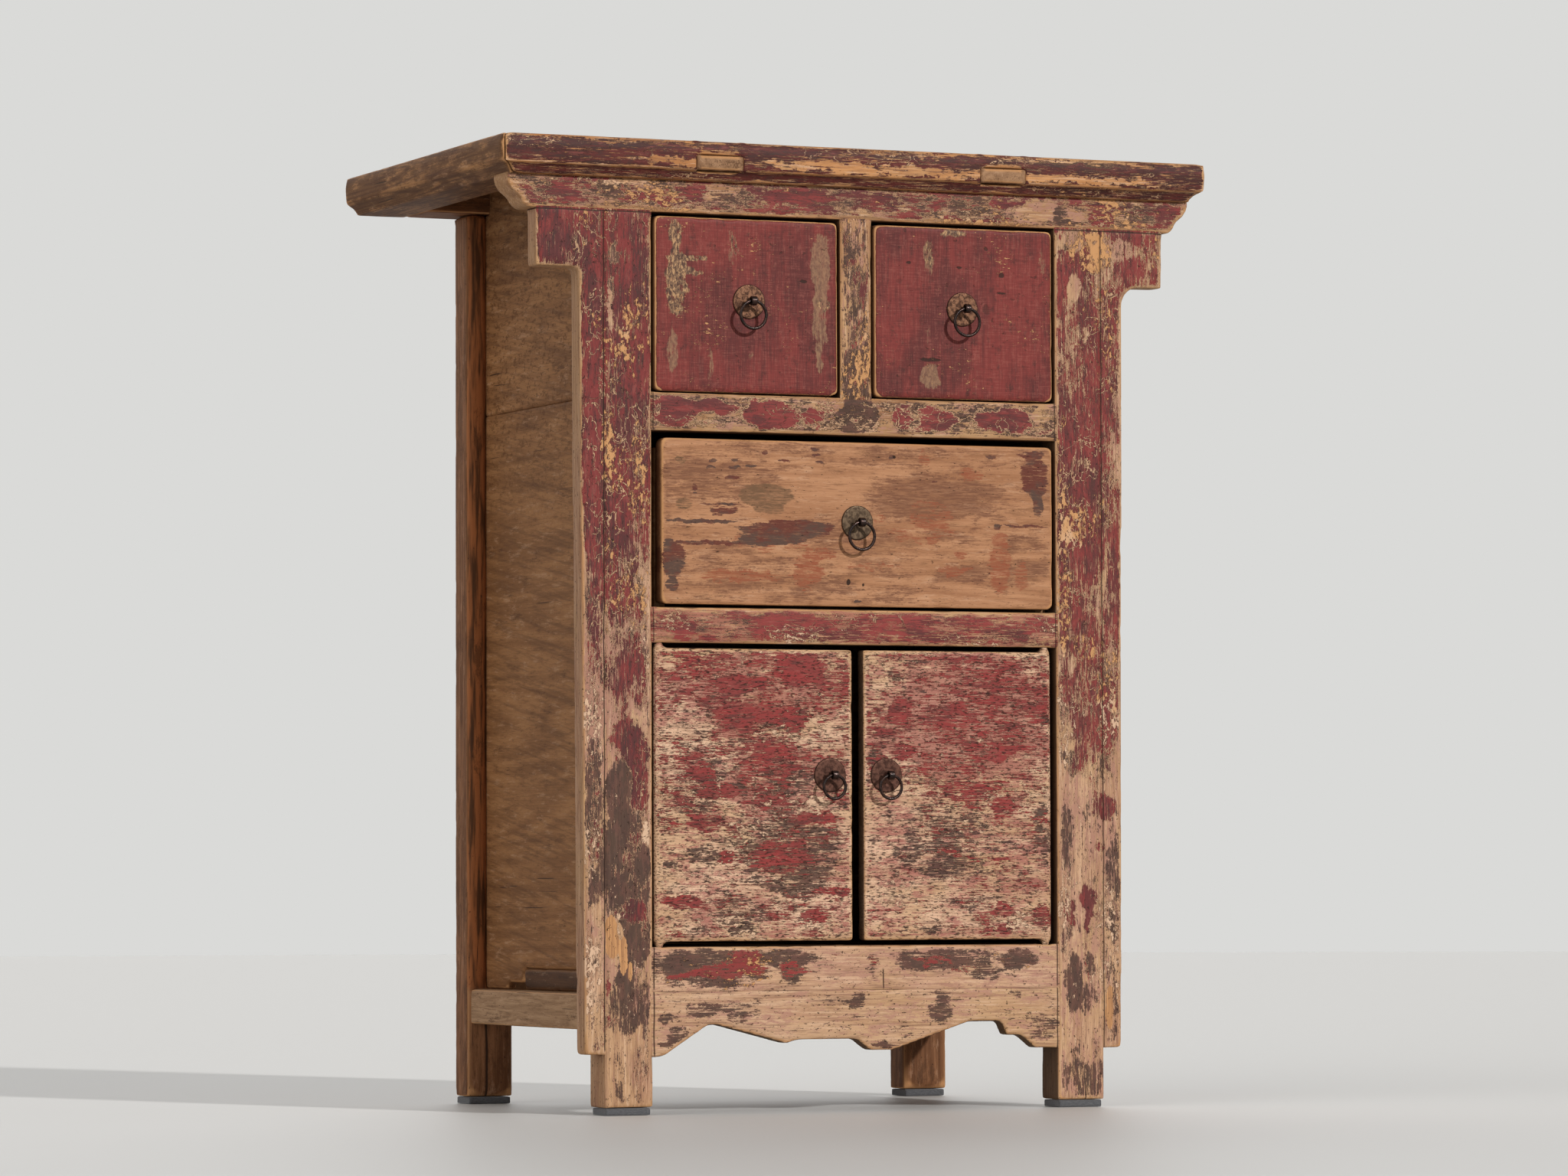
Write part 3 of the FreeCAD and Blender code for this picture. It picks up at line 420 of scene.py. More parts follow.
def painted(name, along, cover, patch, weights=(1.0, 0.8, 0.5), scratch=0.3, grey=-0.2, haze=-0.05, tint=PINK,
            chips=-0.1, flake=(GOLD, CREAM), pale_below=0, bare=0.7, rim=0.05, line=0.03, wood=(TAN, HONEY),
            reds=(CRIMSON, PLUM), inside=231, dim=(0.85, 0.3), dirt=0.45, veins=0.9, pepper=0.0,
            speck=(2.4, 4.0), cover_rises=(), cover_spots=(), grey_spots=(), haze_spots=(), chip_spots=(),
            fresh_spots=(), cracks=(), shift=0.0):
    """Flaking red paint with a pale rim and pale chips, over wood with a haze and grey remains of old coats.

    cover, grey, haze and chips say how much of each there is; the rises and spots add to that in places. All
    chips have the second flake colour under the level pale_below. dim is how dark the faces are that look
    away
    from the front: up to the distance inside from the middle they take a painted shade of the openings, and
    beyond it a brown tone.
    """
    tree = Tree(name)
    turned = tree.math("MULTIPLY_ADD", tree.front, AWAY, -AWAY)
    ground, fibre = tree.wood(along, *wood, shift=shift)
    sallow = tree.band(tree.noise(along, 60, 120, 4, 0.6, 0.2, shift + 14), 0.44, 0.6, 0.0, 0.5)
    ground = tree.mix(sallow, ground, SALLOW)
    strands = tree.noise(along, 2.6, 55, 6, 0.72, 0.2, shift + 15)
    ground = tree.mix(tree.band(strands, 0.52, 0.62, 0.0, 0.6), ground, STRAND)
    ground = tree.mix(tree.band(strands, 0.38, 0.47, 0.6, 0.0), ground, CREAM)
    away = tree.math("ABSOLUTE", tree.x)
    # Faces that look away from the front: a painted shade inside the openings, a brown tone further out.
    turned_tone_and_shade = tree.mix(tree.band(away, inside, inside + 3), OPENING_SHADE, SOIL)
    turned_tone_and_shade = tree.mix(tree.band(away, inside, inside + 3, *dim), ground, turned_tone_and_shade)
    ground = tree.mix(tree.front, turned_tone_and_shade, ground)
    veil = tree.total(tree.spots(haze, haze_spots, shift), turned)
    veil = tree.ragged(along, veil, patch, (1.0, 1.0, 0.9), 0.5, 0.25, shift + 3)
    ground = tree.mix(tree.band(veil, -0.1, 0.12, 0.0, 0.75), ground, tint)
    soot = tree.total(tree.spots(grey, grey_spots, shift), turned)
    soot = tree.ragged(along, soot, patch, (0.7, 1.0, 0.8), 0.6, scratch, shift + 5)
    film = tree.mix(tree.band(tree.noise(along, 5, 18, 5, 0.7, 0.3, shift + 6), 0.44, 0.6), SLATE, FILM)
    ground = tree.mix(tree.band(soot, -0.03, 0.04, 0.0, 0.92), ground, film)

    tone = tree.ragged(along, 0.0, (patch[0] * 1.5, patch[1] * 1.5), (1.0, 0.7, 0.8), 0.0, 0.0, shift + 7)
    paint = tree.mix(tree.band(tone, -0.1, 0.12), *reds)
    grime = tree.noise(along, 5, 26, 7, 0.75, 0.3, shift + 8)
    paint = tree.mix(tree.band(grime, 0.51, 0.6, 0.0, dirt), paint, SLATE)
    paint = tree.mix(tree.band(grime, 0.36, 0.46, 0.4, 0.0), paint, ROSE)

    cover = tree.total(tree.rises(tree.spots(cover, cover_spots, shift), cover_rises), turned)
    level = tree.ragged(along, cover, patch, weights, bare, scratch, shift)
    colour = tree.mix(tree.band(level, -rim - line - 0.01, -rim - line, 0.0, 0.8), ground, LINE)
    colour = tree.mix(tree.band(level, -rim - 0.005, -rim + 0.005), colour, PUTTY)
    mask = tree.band(level, -0.008, 0.008)
    colour = tree.mix(mask, colour, paint)

    fine = tree.noise(along, 4, 8, 5, 0.72, 0.3, shift + 9)
    zone = tree.noise(along, 45, 110, 2, 0.5, 0.0, shift + 10)
    if veins:
        vein = tree.math("ABSOLUTE", tree.total(tree.noise(along, 16, 26, 4, 0.55, 0.6, shift + 12), -0.5))
        vein = tree.total(vein, tree.band(zone, 0.42, 0.56, 0.02, 0.0),
                          tree.band(level, -0.2, 0.0, 0.03, 0.0))
        colour = tree.mix(tree.band(vein, 0.012, 0.02, 0.8 * veins, 0.0), colour, LINE)
        colour = tree.mix(tree.band(vein, 0.005, 0.01, veins, 0.0), colour, PUTTY)
    chip = tree.total(fine, tree.times(zone, 0.8), tree.spots(chips, chip_spots, shift), turned, -0.9)
    colour = tree.mix(tree.band(chip, 0.06, 0.075, 0.0, 0.6), colour, LINE)
    second = tree.total(tree.noise(along, 30, 60, 2, shift=shift + 11),
                        tree.band(tree.z, pale_below - 40, pale_below + 40, 0.4, -0.1))
    pale = tree.mix(tree.band(second, 0.48, 0.64), *flake)
    flakes = tree.band(chip, 0.095, 0.115)
    colour = tree.mix(flakes, colour, pale)
    if fresh_spots:
        fresh = tree.spots(-0.5, fresh_spots, shift, 8)
        fresh = tree.ragged(along, fresh, patch, (0.1, 0.2, 0.3), 0.0, 0.0, shift)
        new_wood = tree.mix(tree.band(fibre, 0.4, 0.6), GOLD, HONEY)
        colour = tree.mix(tree.band(fresh, -0.03, 0.03), colour, new_wood)

    specks = tree.noise(along, *speck, 3, 0.6, 0.0, shift + 2)
    specks = tree.band(specks, 0.66 - pepper, 0.7 - pepper, 0.0, 0.8)
    colour = tree.mix(specks, colour, LINE)
    for crack in cracks:
        colour = tree.crack(colour, *crack)
    proud = tree.total(tree.times(mask, 0.5), tree.times(flakes, -0.4), tree.times(specks, -0.4))
    return tree.finish(colour, tree.total(proud, tree.times(fibre, 0.6)), tree.band(mask, 0, 1, 0.62, 0.5))


def lacquered(name, along, veils, crackles, dents, shift):
    """Smooth red paint, rubbed and dented, with strips where it wore through to beige and crackled coats."""
    tree = Tree(name)
    ground, fibre = tree.wood(along, TAN, HONEY, shift=shift)
    broad = tree.noise(along, 45, 90, 4, 0.6, 0.4, shift)
    brush = tree.noise(along, 2.2, 50, 4, 0.65, 0.0, shift + 1)
    tone = tree.total(broad, tree.times(brush, 0.4))
    paint = tree.mix(tree.band(tone, 0.58, 0.84), LACQUER, OLD_LACQUER)
    grime = tree.noise(along, 9, 12, 8, 0.8, 0.3, shift + 2)
    paint = tree.mix(tree.band(grime, 0.52, 0.66, 0.0, 0.75), paint, GRIMED)
    paint = tree.mix(tree.band(grime, 0.34, 0.46, 0.5, 0.0), paint, RUBBED)
    weave = tree.total(tree.noise("X", 0.9, 14, 3, 0.6, shift=shift + 7),
                       tree.noise("Z", 0.9, 22, 3, 0.6, shift=shift + 8))
    paint = tree.mix(tree.band(weave, 1.04, 1.2, 0.0, 0.3), paint, WARP)
    paint = tree.mix(tree.band(weave, 0.8, 0.96, 0.3, 0.0), paint, WEFT)

    grain = tree.noise(along, 3, 6, 6, 0.75, 0.3, shift + 3)
    veil = tree.spots(-0.5, veils, shift, 16)
    veil = tree.ragged(along, veil, (16, 30), (0.4, 0.6, 0.5), 0.0, 0.3, shift + 4)
    beige = tree.mix(tree.band(grain, 0.4, 0.6), DARK_BEIGE, BEIGE)
    colour = tree.mix(tree.band(veil, -0.08, 0.1, 0.0, 0.8), paint, beige)
    cracked = tree.spots(-0.5, crackles, shift, 16)
    cracked = tree.ragged(along, cracked, (16, 30), (0.4, 0.8, 0.5), 0.0, 0.2, shift + 5)
    shown = tree.band(cracked, -0.03, 0.03)
    flecks = tree.mix(tree.band(grain, 0.44, 0.48), OLDEST_COAT, OLDER_COAT)
    flecks = tree.mix(tree.band(grain, 0.53, 0.57), flecks, OLD_COAT)
    colour = tree.mix(tree.times(shown, 0.9), colour, flecks)

    tick = tree.total(tree.noise("X", 2.0, 5, 4, 0.7, 0.4, shift + 9),
                      tree.times(tree.noise("X", 40, 40, 2, shift=shift + 10), 0.5))
    colour = tree.mix(tree.band(tick, 0.91, 0.93, 0.0, 0.7), colour, LINE)
    colour = tree.mix(tree.band(tick, 0.945, 0.96), colour, GOLD)
    dark = tree.band(tree.noise("X", 6, 9, 4, 0.65, 0.3, shift + 6), 0.65, 0.7, 0.0, 0.6)
    dark = tree.math("MAXIMUM", dark, tree.band(tree.spots(0.0, dents, shift, 6), 0.3, 0.7, 0.0, 0.85))
    colour = tree.mix(dark, colour, LINE)
    rubbed = tree.total(tree.wear, tree.times(grime, 0.8), tree.times(broad, 0.6))
    colour = tree.mix(tree.band(rubbed, 1.18, 1.24, 0.0, 0.75), colour, WORN_RIM)
    colour = tree.mix(tree.band(rubbed, 1.32, 1.37), colour, ground)
    # The faces that look away from the front are darkened towards umber: painted shade of the gaps around the
    # drawer.
    colour = tree.mix(tree.front, tree.mix(0.6, ground, UMBER), colour)
    height = tree.total(tree.times(fibre, 0.3), tree.times(dark, -0.8), tree.times(shown, -0.3),
                        tree.times(grain, 0.2))
    return tree.finish(colour, height, 0.46)


def stripped(name, along, haze, stains, smears, darks, gaps, holes, shift):
    """Bare wood with a brown haze, grey stains, smears of orange and dark red paint, and worm holes."""
    tree = Tree(name)
    colour, fibre = tree.wood(along, BARE, DARK_BARE, 40, shift)
    strokes = tree.noise(along, 1.4, 14, 5, 0.72, 0.1, shift + 9)
    thin = tree.band(strokes, 0.36, 0.6, 0.4, 1.0)
    gap = tree.spots(0.0, gaps, shift, 12)
    veil = tree.ragged(along, tree.spots(-0.06, haze, shift), (30, 80), (1.0, 0.9, 0.7), 0.4, 0.2, shift)
    colour = tree.mix(tree.times(tree.band(veil, -0.15, 0.15), thin), colour, BROWN_HAZE)
    stain = tree.spots(-0.5, stains, shift, 10)
    stain = tree.ragged(along, stain, (30, 60), (0.2, 0.3, 0.6), 0.3, 0.2, shift + 2)
    colour = tree.mix(tree.times(tree.band(stain, -0.06, 0.1), thin), colour, GREY_STAIN)
    smear = tree.total(tree.spots(-0.45, smears, shift, 20), gap)
    smear = tree.ragged(along, smear, (24, 46), (0.5, 0.7, 1.0), 0.4, 0.3, shift + 4)
    colour = tree.mix(tree.times(tree.band(smear, -0.08, 0.1), thin), colour, BRICK)
    dark = tree.total(tree.spots(-0.5, darks, shift, 10), gap)
    dark = tree.ragged(along, dark, (18, 40), (0.3, 0.6, 0.8), 0.4, 0.3, shift + 6)
    tone = tree.band(tree.noise(along, 22, 50, 5, 0.7, shift=shift), 0.42, 0.58)
    paint = tree.mix(tone, RUSSET, DULL_RUSSET)
    shown = tree.times(tree.band(dark, -0.05, 0.04), tree.band(strokes, 0.34, 0.5, 0.7, 1.0))
    colour = tree.mix(shown, colour, paint)
    specks = tree.band(tree.noise(along, 2.2, 5, 3, 0.6, 0.0, shift + 8), 0.66, 0.7, 0.0, 0.75)
    specks = tree.math("MAXIMUM", specks, tree.band(tree.spots(0.0, holes, shift, 3), 0.3, 0.7, 0.0, 0.95))
    colour = tree.mix(specks, colour, LINE)
    # The faces that look away from the front are darkened: painted shade of the gaps around the drawer.
    colour = tree.mix(tree.front, tree.mix(0.65, colour, GAP_SHADE), colour)
    height = tree.total(tree.times(fibre, 0.8), tree.times(specks, -0.6))
    return tree.finish(colour, height, 0.58)


def plain_wood(name, along, light, dark, ring=60.0, marks=0.0, stain=-0.25, shift=0.0, returns=None,
               cracks=(), edge=GOLD, flecks=None):
    """Unpainted old wood, with dark stains, cracks along the grain and sloping saw marks.

    returns is the tone of the faces that look to the front above the feet, where they differ; flecks are the
    levels between which short dark marks set in.
    """
    tree = Tree(name)
    colour, fibre = tree.wood(along, light, dark, ring, shift, edge)
    if returns:
        streaks = tree.noise(along, 6, 90, 4, 0.6, shift=shift)
        narrow = tree.mix(tree.band(streaks, 0.42, 0.62), returns, UMBER)
        colour = tree.mix(tree.times(tree.front, tree.band(tree.z, *FEET_END)), colour, narrow)
    soil = tree.ragged(along, stain, (36, 90), (1.0, 1.0, 0.7), 0.5, 0.0, shift)
    colour = tree.mix(tree.band(soil, -0.1, 0.15, 0.0, 0.7), colour, UMBER)
    saw = tree.noise("Y", 5, 120, 4, 0.65, 0.1, shift, tilt=9)
    colour = tree.mix(tree.band(saw, 0.46, 0.66, 0.0, marks), colour, UMBER)
    if flecks:
        tick = tree.noise("Y", 4, 9, 4, 0.65, 0.6, shift + 8)
        tick = tree.times(tree.band(tick, 0.54, 0.6, 0.0, 0.65), tree.band(tree.z, *flecks, 0.15, 1.0))
        colour = tree.mix(tick, colour, TICK)
    cracks_on = tree.band(tree.noise(along, 3, 130, 2, 0.5, 0.0, shift + 4), 0.71, 0.75, 0.0, 0.8)
    specks = tree.band(tree.noise(along, 2.6, 6, 3, 0.6, 0.0, shift + 6), 0.67, 0.71, 0.0, 0.7)
    marked = tree.math("MAXIMUM", cracks_on, specks)
    colour = tree.mix(marked, colour, LINE)
    for crack in cracks:
        colour = tree.crack(colour, *crack)
    height = tree.total(tree.times(fibre, 0.8), tree.times(saw, marks), tree.times(marked, -0.8))
    return tree.finish(colour, height, 0.62)


def iron(name, dark, rust, rough, rim=0.0, shine=0.12):
    """Worn iron with rust in its hollows, and a darker rim that is a painted shade of its edge."""
    tree = Tree(name)
    blots = tree.noise("Y", 4, 4, 5, 0.7, 0.3)
    pits = tree.noise("Y", 0.8, 0.8, 3, 0.6)
    colour = tree.mix(tree.band(blots, 0.4, 0.6), dark, rust)
    # A darker rim at the worn edges: painted shade of the plate's edge.
    colour = tree.mix(tree.band(tree.wear, 0.2, 0.8, 0.0, rim), colour, LINE)
    tree.shader.inputs["Metallic"].default_value = 0.7
    height = tree.total(tree.times(blots, 0.6), tree.times(pits, 0.5))
    return tree.finish(colour, height, tree.band(pits, 0.35, 0.65, rough - 0.1, rough + 0.15), 0.25, shine)


def felt(name, colour, fleck):
    """Soft felt with paler fibres."""
    tree = Tree(name)
    fibres = tree.noise("X", 0.5, 3, 4, 0.7)
    shade = tree.mix(tree.band(fibres, 0.4, 0.65), colour, fleck)
    tree.shader.inputs["Sheen Weight"].default_value = 0.4
    return tree.finish(shade, fibres, 0.95, 0.4)


def end_seams(*crack):
    """The same upright crack at both ends of a front rail."""
    return [(-RAIL_END, *crack), (RAIL_END, *crack)]


left_uprights = painted(
    "left_uprights", "Z", -0.2, (24, 56), wood=(srgb(202, 160, 127), srgb(167, 122, 95)), scratch=0.4,
    pepper=0.03, pale_below=480, reds=(srgb(130, 57, 54), srgb(94, 50, 49)), dirt=0.7,
    cover_rises=[(390, 440, 0.14), (540, 610, 0.36)],
    cover_spots=[
        (-262, 388, 20, 18, 0.42), (-250, 370, 17, 20, 0.42), (-246, 334, 12, 26, 0.5),
        (-255, 208, 15, 11, 0.45), (-267, 345, 12, 13, -1.3), (-258, 440, 26, 44, 0.12),
        (-256, 505, 22, 40, 0.12), (-272, 880, 5, 14, -0.5), (-276, 830, 4, 30, -0.4),
        (-252, 455, 12, 34, 0.1), (-270, 540, 12, 12, 0.35), (-268, 640, 11, 80, 0.25),
        (-298, 740, 15, 170, 0.25), (-245, 620, 10, 50, -0.3), (-272, 165, 14, 40, -0.5),
        (-298, 300, 14, 60, 0.1), (-279, 140, 3, 16, 0.5)],
    grey_spots=[
        (-260, 258, 28, 64, 0.85), (-265, 345, 16, 18, 0.62), (-258, 112, 26, 32, 0.52),
        (-298, 325, 12, 56, 0.55), (-300, 525, 8, 28, 0.36), (-239, 288, 6, 16, -0.7),
        (-274, 175, 11, 26, -0.7), (-262, 150, 9, 26, 0.65), (-243, 185, 10, 32, 0.75),
        (-257, 40, 60, 42, -0.12), (-272, 870, 10, 40, 0.25), (-293, 245, 8, 40, 0.36),
        (-268, 42, 6, 36, 0.3), (-247, 30, 5, 30, 0.25), (-238, 60, 5, 24, 0.25), (-252, 500, 20, 50, 0.16),
        (-266, 860, 12, 40, 0.2), (-272, 322, 14, 24, 0.55), (-250, 178, 16, 28, 0.5),
        (-300, 228, 8, 20, 0.35)],
    haze_spots=[
        (-298, 430, 14, 80, 0.35), (-262, 450, 26, 60, 0.3), (-257, 40, 60, 50, -0.3),
        (-300, 120, 14, 70, -0.4)],
    chip_spots=[
        (-250, 805, 18, 60, 0.15), (-246, 625, 12, 60, 0.13), (-281, 680, 6, 40, 0.1),
        (-256, 520, 22, 40, 0.05), (-335, 900, 20, 25, 0.06), (-298, 660, 10, 110, -0.12),
        (-262, 105, 24, 26, 0.04), (-262, 250, 24, 60, 0.04), (-257, 45, 60, 42, -0.5),
        (-298, 270, 10, 40, 0.12), (-298, 125, 12, 60, 0.14), (-239, 288, 5, 14, 0.3)],
    fresh_spots=[
        (-277, 191, 7, 15, 1.0), (-275, 174, 9, 14, 0.9), (-263, 163, 5, 22, 0.85), (-256, 146, 3, 12, 0.8)],
    cracks=[(-284, 66, 926, 0.9), (925.4, -360, -231, 1.0, 0.85, True)], shift=1.0)
right_uprights = painted(
    "right_uprights", "Z", -0.28, (24, 56), wood=(srgb(204, 162, 128), srgb(176, 132, 102)), scratch=0.4,
    pepper=0.03, pale_below=420, dirt=0.6, cover_rises=[(330, 400, 0.44)],
    cover_spots=[
        (265, 220, 10, 11, 0.6), (265, 200, 4, 16, 0.5), (243, 205, 8, 16, 0.45), (286, 316, 15, 16, 0.5),
        (262, 690, 28, 60, 0.25), (252, 865, 8, 14, -0.4), (303, 700, 8, 90, -0.2),
        (250, 912, 22, 10, -0.32), (303, 905, 34, 12, -0.34), (265, 815, 5, 10, -0.4),
        (240, 400, 8, 60, -0.16), (278, 272, 8, 7, 0.4)],
    grey_spots=[
        (248, 130, 10, 32, 0.62), (267, 150, 6, 16, 0.55), (262, 112, 12, 20, 0.3),
        (285, 430, 12, 60, 0.42), (295, 230, 9, 60, 0.36), (242, 285, 7, 36, 0.4), (255, 580, 8, 8, 0.5),
        (262, 30, 30, 22, 0.3), (245, 362, 14, 16, 0.4), (295, 105, 10, 40, 0.2)],
    chips=-0.07,
    chip_spots=[
        (265, 905, 40, 24, 0.14), (238, 560, 9, 90, 0.12), (262, 695, 24, 50, -0.2),
        (262, 610, 26, 26, 0.12), (262, 485, 26, 18, 0.12), (245, 400, 14, 60, 0.08),
        (262, 50, 60, 50, -0.5)],
    fresh_spots=[(290, 105, 6, 30, 0.62)],
    cracks=[(284, 62, 926, 1.0, 0.75), (925.4, 231, 360, 1.0, 0.85, True), (262, 8, 24, 0.9)], shift=2.0)
divider_paint = painted(
    "divider_paint", "Z", -0.12, (14, 30), grey=0.0, chips=-0.02, rim=0.03,
    grey_spots=[(0, 765, 20, 28, 0.4), (-5, 860, 10, 50, 0.1)], shift=3.0)
frieze_paint = painted(
    "frieze_paint", "X", 0.03, (16, 40), grey=0.0, chips=-0.04, dirt=0.6,
    cover_spots=[
        (-205, 945, 48, 11, 0.22), (-70, 950, 52, 9, 0.28), (20, 948, 40, 11, 0.18),
        (-158, 948, 20, 8, -0.35), (-250, 955, 60, 4, -0.35), (212, 945, 24, 11, -0.5),
        (255, 942, 30, 12, -0.25), (286, 940, 15, 10, 0.4), (-270, 931, 44, 5, -0.35),
        (110, 945, 44, 12, -0.1), (165, 950, 12, 7, 0.35)],
    grey_spots=[
        (-278, 948, 20, 8, 0.35), (-125, 946, 8, 6, 0.5), (-70, 942, 9, 7, 0.6), (110, 948, 44, 11, 0.3),
        (236, 942, 8, 9, 0.5), (340, 945, 20, 10, 0.25), (-345, 945, 14, 12, 0.3), (212, 945, 24, 11, -0.5)],
    shift=4.0)
upper_rail_paint = painted(
    "upper_rail_paint", "X", -0.15, (22, 44), weights=(0.4, 0.8, 0.1), rim=0.08, line=0.06, grey=0.04,
    chips=-0.16, scratch=0.1, wood=(srgb(186, 140, 98), srgb(150, 106, 72)),
    cover_spots=[
        (-208, 721, 26, 16, 0.5), (-160, 727, 26, 7, 0.45), (-98, 721, 33, 15, 0.52),
        (-50, 720, 12, 7, 0.4), (51, 722, 12, 13, 0.5), (92, 721, 22, 13, 0.52), (170, 722, 32, 12, 0.55)],
    grey_spots=[
        (0, 722, 24, 20, 0.6), (-32, 731, 20, 8, -0.6), (34, 714, 11, 15, -0.6), (216, 728, 11, 9, -0.6),
        (-150, 706, 34, 5, -0.5)],
    cracks=end_seams(702, 741, 0.9, 0.7), shift=5.0)
lower_rail_paint = painted(
    "lower_rail_paint", "X", 0.06, (14, 50), weights=(0.7, 0.8, 0.9), rim=0.03, haze=0.15,
    tint=srgb(166, 102, 88), chips=-0.09, scratch=0.6, dirt=0.4, reds=(srgb(146, 64, 60), PLUM),
    flake=(CREAM, GOLD),
    cover_spots=[
        (-75, 502, 42, 14, 0.25), (40, 502, 48, 14, 0.15), (-160, 502, 45, 14, -0.15),
        (-195, 497, 13, 11, 0.35)],
    grey_spots=[(-130, 502, 70, 16, 0.14)], chip_spots=[(-150, 502, 50, 14, 0.05)],
    cracks=end_seams(484, 520, 0.9, 0.7), shift=6.0)
bottom_rail_paint = painted(
    "bottom_rail_paint", "X", -0.36, (16, 50), weights=(0.6, 0.8, 0.9), grey=-0.26, rim=0.02, chips=-0.12,
    wood=(srgb(212, 170, 138), srgb(190, 146, 118)), reds=(SCARLET, CRIMSON), dirt=0.25, veins=0.0,
    pepper=0.03,
    cover_spots=[
        (-150, 147, 50, 8, 0.6), (-128, 160, 20, 9, 0.6), (-195, 141, 24, 4, 0.5), (-75, 148, 18, 8, 0.45),
        (85, 155, 26, 6, 0.5), (120, 146, 18, 6, 0.4), (16, 155, 6, 9, 0.3)],
    grey_spots=[
        (-165, 152, 70, 22, 0.62), (-85, 160, 36, 9, 0.5), (-75, 145, 14, 10, 0.5), (105, 157, 60, 13, 0.5),
        (60, 146, 14, 6, 0.4), (185, 156, 24, 11, 0.55), (150, 142, 30, 6, 0.3), (16, 155, 8, 12, 0.3)],
    chip_spots=[(-20, 150, 50, 30, -0.3)], cracks=[(28, 127, 147, 1.0), *end_seams(128, 172, 1.0, 0.85)],
    shift=7.0)
apron_paint = painted(
    "apron_paint", "X", -0.8, (14, 40), grey=-0.24, haze=-0.1, chips=-0.3, veins=0.0, pepper=0.04,
    scratch=0.35, wood=(srgb(206, 167, 134), srgb(185, 142, 109)),
    grey_spots=[
        (-175, 106, 20, 10, 0.42), (-212, 99, 16, 5, 0.46), (-205, 82, 16, 7, 0.42),
        (-135, 106, 24, 12, 0.26), (-215, 72, 10, 5, 0.4), (0, 114, 10, 8, 0.4), (92, 104, 16, 18, 0.42),
        (180, 120, 7, 4, 0.5), (212, 85, 22, 14, 0.3), (30, 68, 22, 5, 0.4), (-110, 118, 10, 5, 0.3)],
    cracks=[(126.2, -230, 230, 0.9, 0.9, True), *end_seams(60, 127, 1.0, 0.85)], shift=8.0)
top_paint = painted(
    "top_paint", "X", 0.2, (7, 70), weights=(0.9, 0.8, 1.1), reds=(srgb(98, 48, 43), srgb(74, 42, 38)),
    rim=0.03, grey=0.0, chips=-0.16, inside=-10, dim=(0.7, 0.7),
    wood=(srgb(210, 152, 100), srgb(180, 122, 76)), shift=9.0, scratch=0.4, dirt=0.6, haze=-0.3,
    cover_spots=[
        (-200, 978, 54, 4, -0.45), (0, 978, 124, 5, -0.4), (110, 975, 90, 3, -0.4),
        (250, 976, 100, 4, -0.5), (60, 995, 70, 3, -0.3), (250, 995, 100, 3, -0.3),
        (-270, 997, 120, 2, -0.3)],
    grey_spots=[
        (0, 980, 130, 8, -0.4), (250, 978, 110, 6, -0.5), (-200, 981, 54, 6, -0.5),
        (-385, 985, 14, 14, 0.5), (200, 990, 150, 5, 0.3)])
end_wood = plain_wood("end_wood", "Y", srgb(172, 124, 80), srgb(92, 60, 42), ring=26, stain=0.1, shift=10.0)
red_drawer_paint = lacquered(
    "red_drawer_paint", "Z",
    veils=[
        (-207, 785, 7, 28, 0.62), (-40, 876, 13, 40, 0.75), (-42, 815, 10, 42, 0.66),
        (-140, 893, 7, 24, 0.5), (-165, 772, 4, 24, 0.5), (-120, 786, 4, 12, 0.45), (85, 765, 13, 16, 0.75),
        (84, 808, 6, 12, 0.45), (84, 890, 7, 24, 0.5), (112, 917, 20, 5, 0.6), (215, 890, 4, 16, 0.5),
        (-42, 775, 4, 12, 0.5)],
    crackles=[
        (-203, 855, 14, 42, 0.7), (-204, 905, 8, 18, 0.65), (-190, 880, 26, 4, 0.6),
        (-185, 866, 18, 5, 0.55), (-140, 898, 5, 12, 0.5), (-38, 836, 9, 10, 0.5), (84, 892, 7, 16, 0.5),
        (112, 917, 18, 4, 0.6)],
    dents=[
        (85, 783, 13, 2.0, 1.0), (150, 902, 3, 3, 0.6), (-60, 860, 5, 2, 0.8), (168, 875, 4, 3, 0.8),
        (168, 856, 6, 1.5, 0.8), (-150, 835, 6, 8, 0.4), (150, 838, 5, 8, 0.5), (118, 881, 4, 1.5, 0.8),
        (60, 884, 3, 1.5, 0.8), (50, 865, 6, 3, 0.45), (-28, 780, 5, 6, 0.5)],
    shift=11.0)
